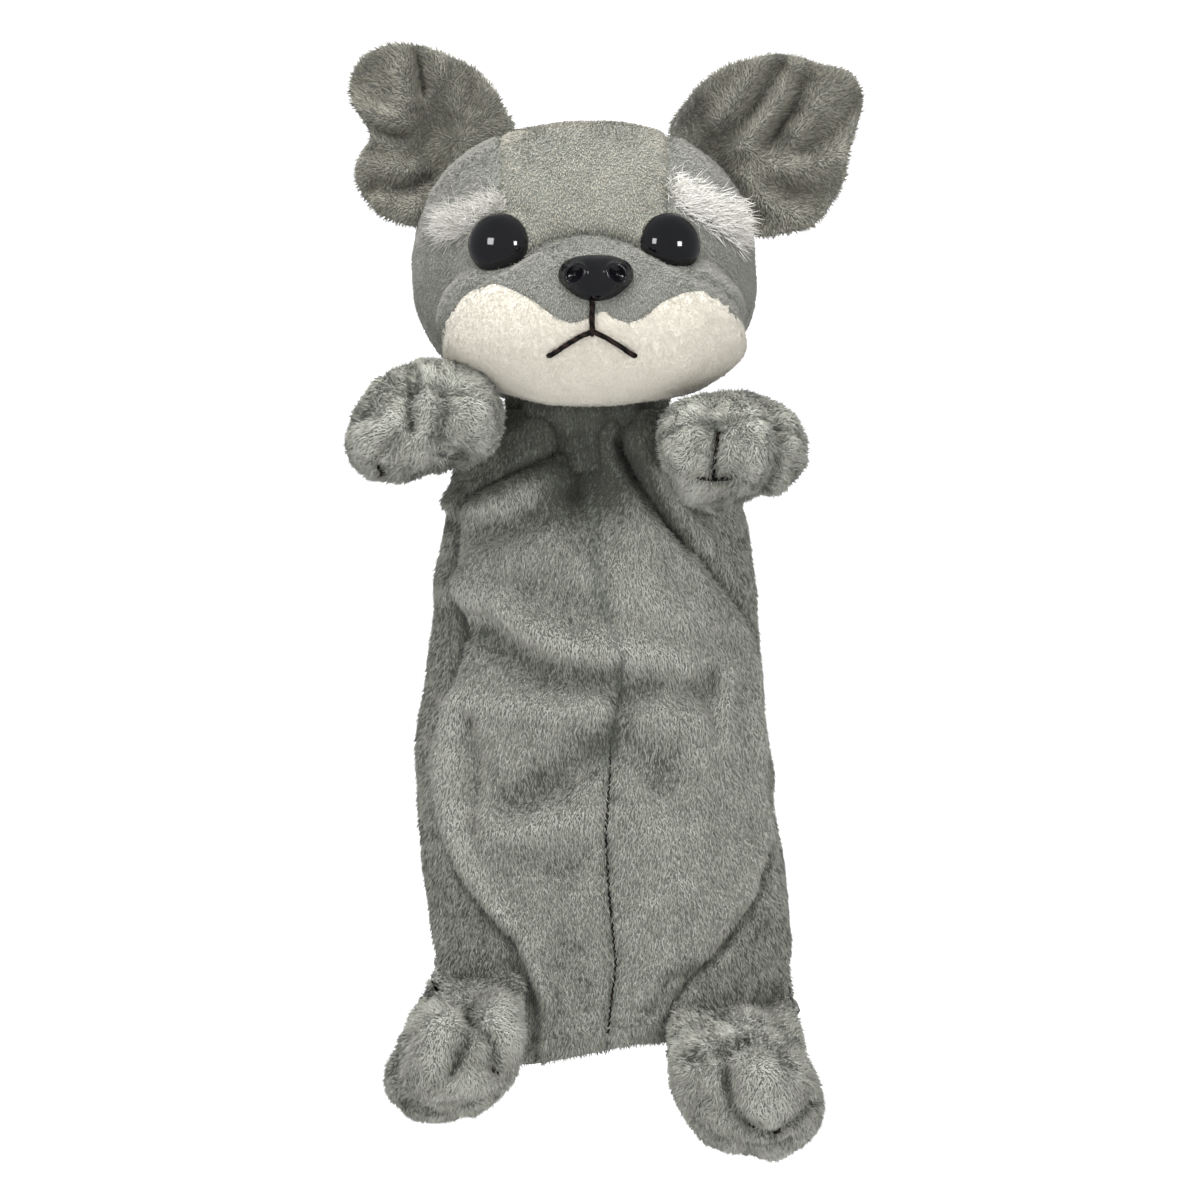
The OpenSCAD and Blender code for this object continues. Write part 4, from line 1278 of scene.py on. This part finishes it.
def make_sleeve_threads():
    """The thread of the belly seam, half sunk in its groove, and the short stitches of the hem."""
    z = np.arange(5, 128, 1.0)
    angle = seam_angle(z, BELLY_SEAM) + np.where(np.arange(len(z)) % 2, 0.3, -0.3)
    path = sleeve_point(angle, z, 0.25 - 0.9 * soft_step((z - 70) / 40))
    seam = tube("belly_seam_thread", [path], 0.26, DARK_THREAD)
    hem = []
    for start in np.arange(-176, 180, HEM_STEP):
        a = start + np.linspace(0, HEM_STITCH, 6)
        lift = 0.2 - 0.8 * hump(np.minimum(a - start, start + HEM_STITCH - a), 0.4)
        low, high = (sleeve_point(a, np.full(6, HEM_LINE), off) for off in (0.2, 1.2))
        hem.append(low + (high - low) * lift[:, None])
    stitches = tube("hem_thread", hem, 0.35, GREY_THREAD)
    for piece, node in ((seam, "belly_seam_stitches"), (stitches, "hem_stitches")):
        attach(piece, "torso")
        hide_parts(node)


def make_hem_band():
    """The cloth turned up inside the hem, its knitted back against the sleeve."""
    bm = bmesh.new()
    bmesh.ops.create_grid(bm, x_segments=150, y_segments=6, size=1)
    p = points_of(bm)
    angle, z = p[:, 0] * 180, 0.6 + (p[:, 1] + 1) / 2 * 6.6
    move_to(bm, sleeve_point(angle, z, -CLOTH - 0.9))
    bmesh.ops.remove_doubles(bm, verts=bm.verts, dist=0.01)
    bmesh.ops.recalc_face_normals(bm, faces=bm.faces)
    band = object_from(bm, "hem_turned_up", [LINING])
    wall = band.modifiers.new("wall", "SOLIDIFY")
    wall.thickness, wall.offset = 1.4 * MM, 0
    keep_shape(band)
    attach(band, "torso")
    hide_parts("hem_band")


def paint_hidden_nodes():
    """The pieces inside the puppet keep their modelled shape and get their own finish."""
    finishes = {"head_stuffing": FILLING, "finger_pocket": LINING, "eye_washer_left": WASHER_PLASTIC,
                "eye_washer_right": WASHER_PLASTIC, "nose_washer": WASHER_PLASTIC}
    for name, material in finishes.items():
        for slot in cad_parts[name].material_slots:
            slot.link = "OBJECT"
            slot.material = material


# ---------------------------------------------------------------- camera and light


def stage_plate(name, material, size, place, turn=0.0):
    """A flat rectangle of the studio, lying level or turned up about x."""
    bm = bmesh.new()
    bmesh.ops.create_grid(bm, x_segments=1, y_segments=1, size=size / 2)
    mesh = bpy.data.meshes.new(name)
    bm.to_mesh(mesh)
    mesh.transform(Matrix.Translation(place) @ Matrix.Rotation(turn, 4, "X"))
    mesh.materials.append(material)
    plate = new_object(name, mesh)
    plate.visible_glossy = False
    return plate


def make_studio(floor_z):
    """Pale floor below, a white wall far behind, soft light from above, two windows in front, and a
    camera straight in front and far away."""
    pale, tree, place, shader = blank_material("pale_floor")
    grain = add(tree, "ShaderNodeTexNoise", {"Vector": place, "Scale": 3.0})
    surface = ramp(tree, grain.outputs["Fac"], [[0.3, "#F7F7F6"], [0.7, "#FAFAFA"]])
    tree.links.new(surface, shader.inputs["Base Color"])
    shader.inputs["Roughness"].default_value = 0.9
    stage_plate("floor", pale, 3.2, (0, 0, floor_z))
    white, _, _, shader = blank_material("white_wall")
    shader.inputs["Emission Color"].default_value = (1, 1, 1, 1)
    shader.inputs["Emission Strength"].default_value = 1.0
    wall = stage_plate("wall", white, 3.0, (0, 7, 0.13), math.pi / 2)
    wall.visible_diffuse = wall.visible_shadow = False

    camera = bpy.data.cameras.new("front_camera")
    distance, face_depth, wide, middle_z = 6.0, 0.03, 0.353, 0.1338
    camera.sensor_width, camera.lens = 36, 36 * (distance - face_depth) / wide
    holder = new_object("front_camera", camera)
    holder.location, holder.rotation_euler = (0, -distance, middle_z), (math.pi / 2, 0, 0)
    bpy.context.scene.camera = holder

    # Each light's place, what it looks at, its size and its power
    lights = {
        "soft_box_above": ((-0.15, -0.50, 1.15), (0.0, 0.0, 0.12), 0.8, 15.5),
        "left_window": ((-0.80, -1.00, 0.55), (0, 0, 0.2), 0.36, 5.4),
        "right_window": ((0.87, -0.97, 0.40), (0, 0, 0.12), 0.26, 6.4),
        "soft_box_behind": ((0, 0.25, 1.3), (0, 0.9, 0.3), 1.2, 14.0),
    }
    for name, (place, aim, size, power) in lights.items():
        light = bpy.data.lights.new(name, "AREA")
        light.shape, light.size, light.energy = "SQUARE", size, power
        lamp = new_object(name, light)
        lamp.location = place
        lamp.visible_glossy = name.endswith("window")
        lamp.rotation_euler = (Vector(aim) - Vector(place)).to_track_quat("-Z", "Y").to_euler()
    world = bpy.data.worlds.new("studio")
    world.use_nodes = True
    world.node_tree.nodes["Background"].inputs["Color"].default_value = colour("#F2F5F8")
    world.node_tree.nodes["Background"].inputs["Strength"].default_value = 0.5
    bpy.context.scene.world = world
    bpy.context.scene.view_settings.view_transform = "Standard"


# ---------------------------------------------------------------- the puppet

FLOOR_DROP = 0.12  # the floor lies well below the feet, so that they leave no dark shadow on it

make_sleeve()
make_head()
make_limbs()
make_ears()
make_face()
make_brows()
make_neck()
make_sleeve_threads()
make_hem_band()
paint_hidden_nodes()

make_studio(cad_box[0][2] - FLOOR_DROP)
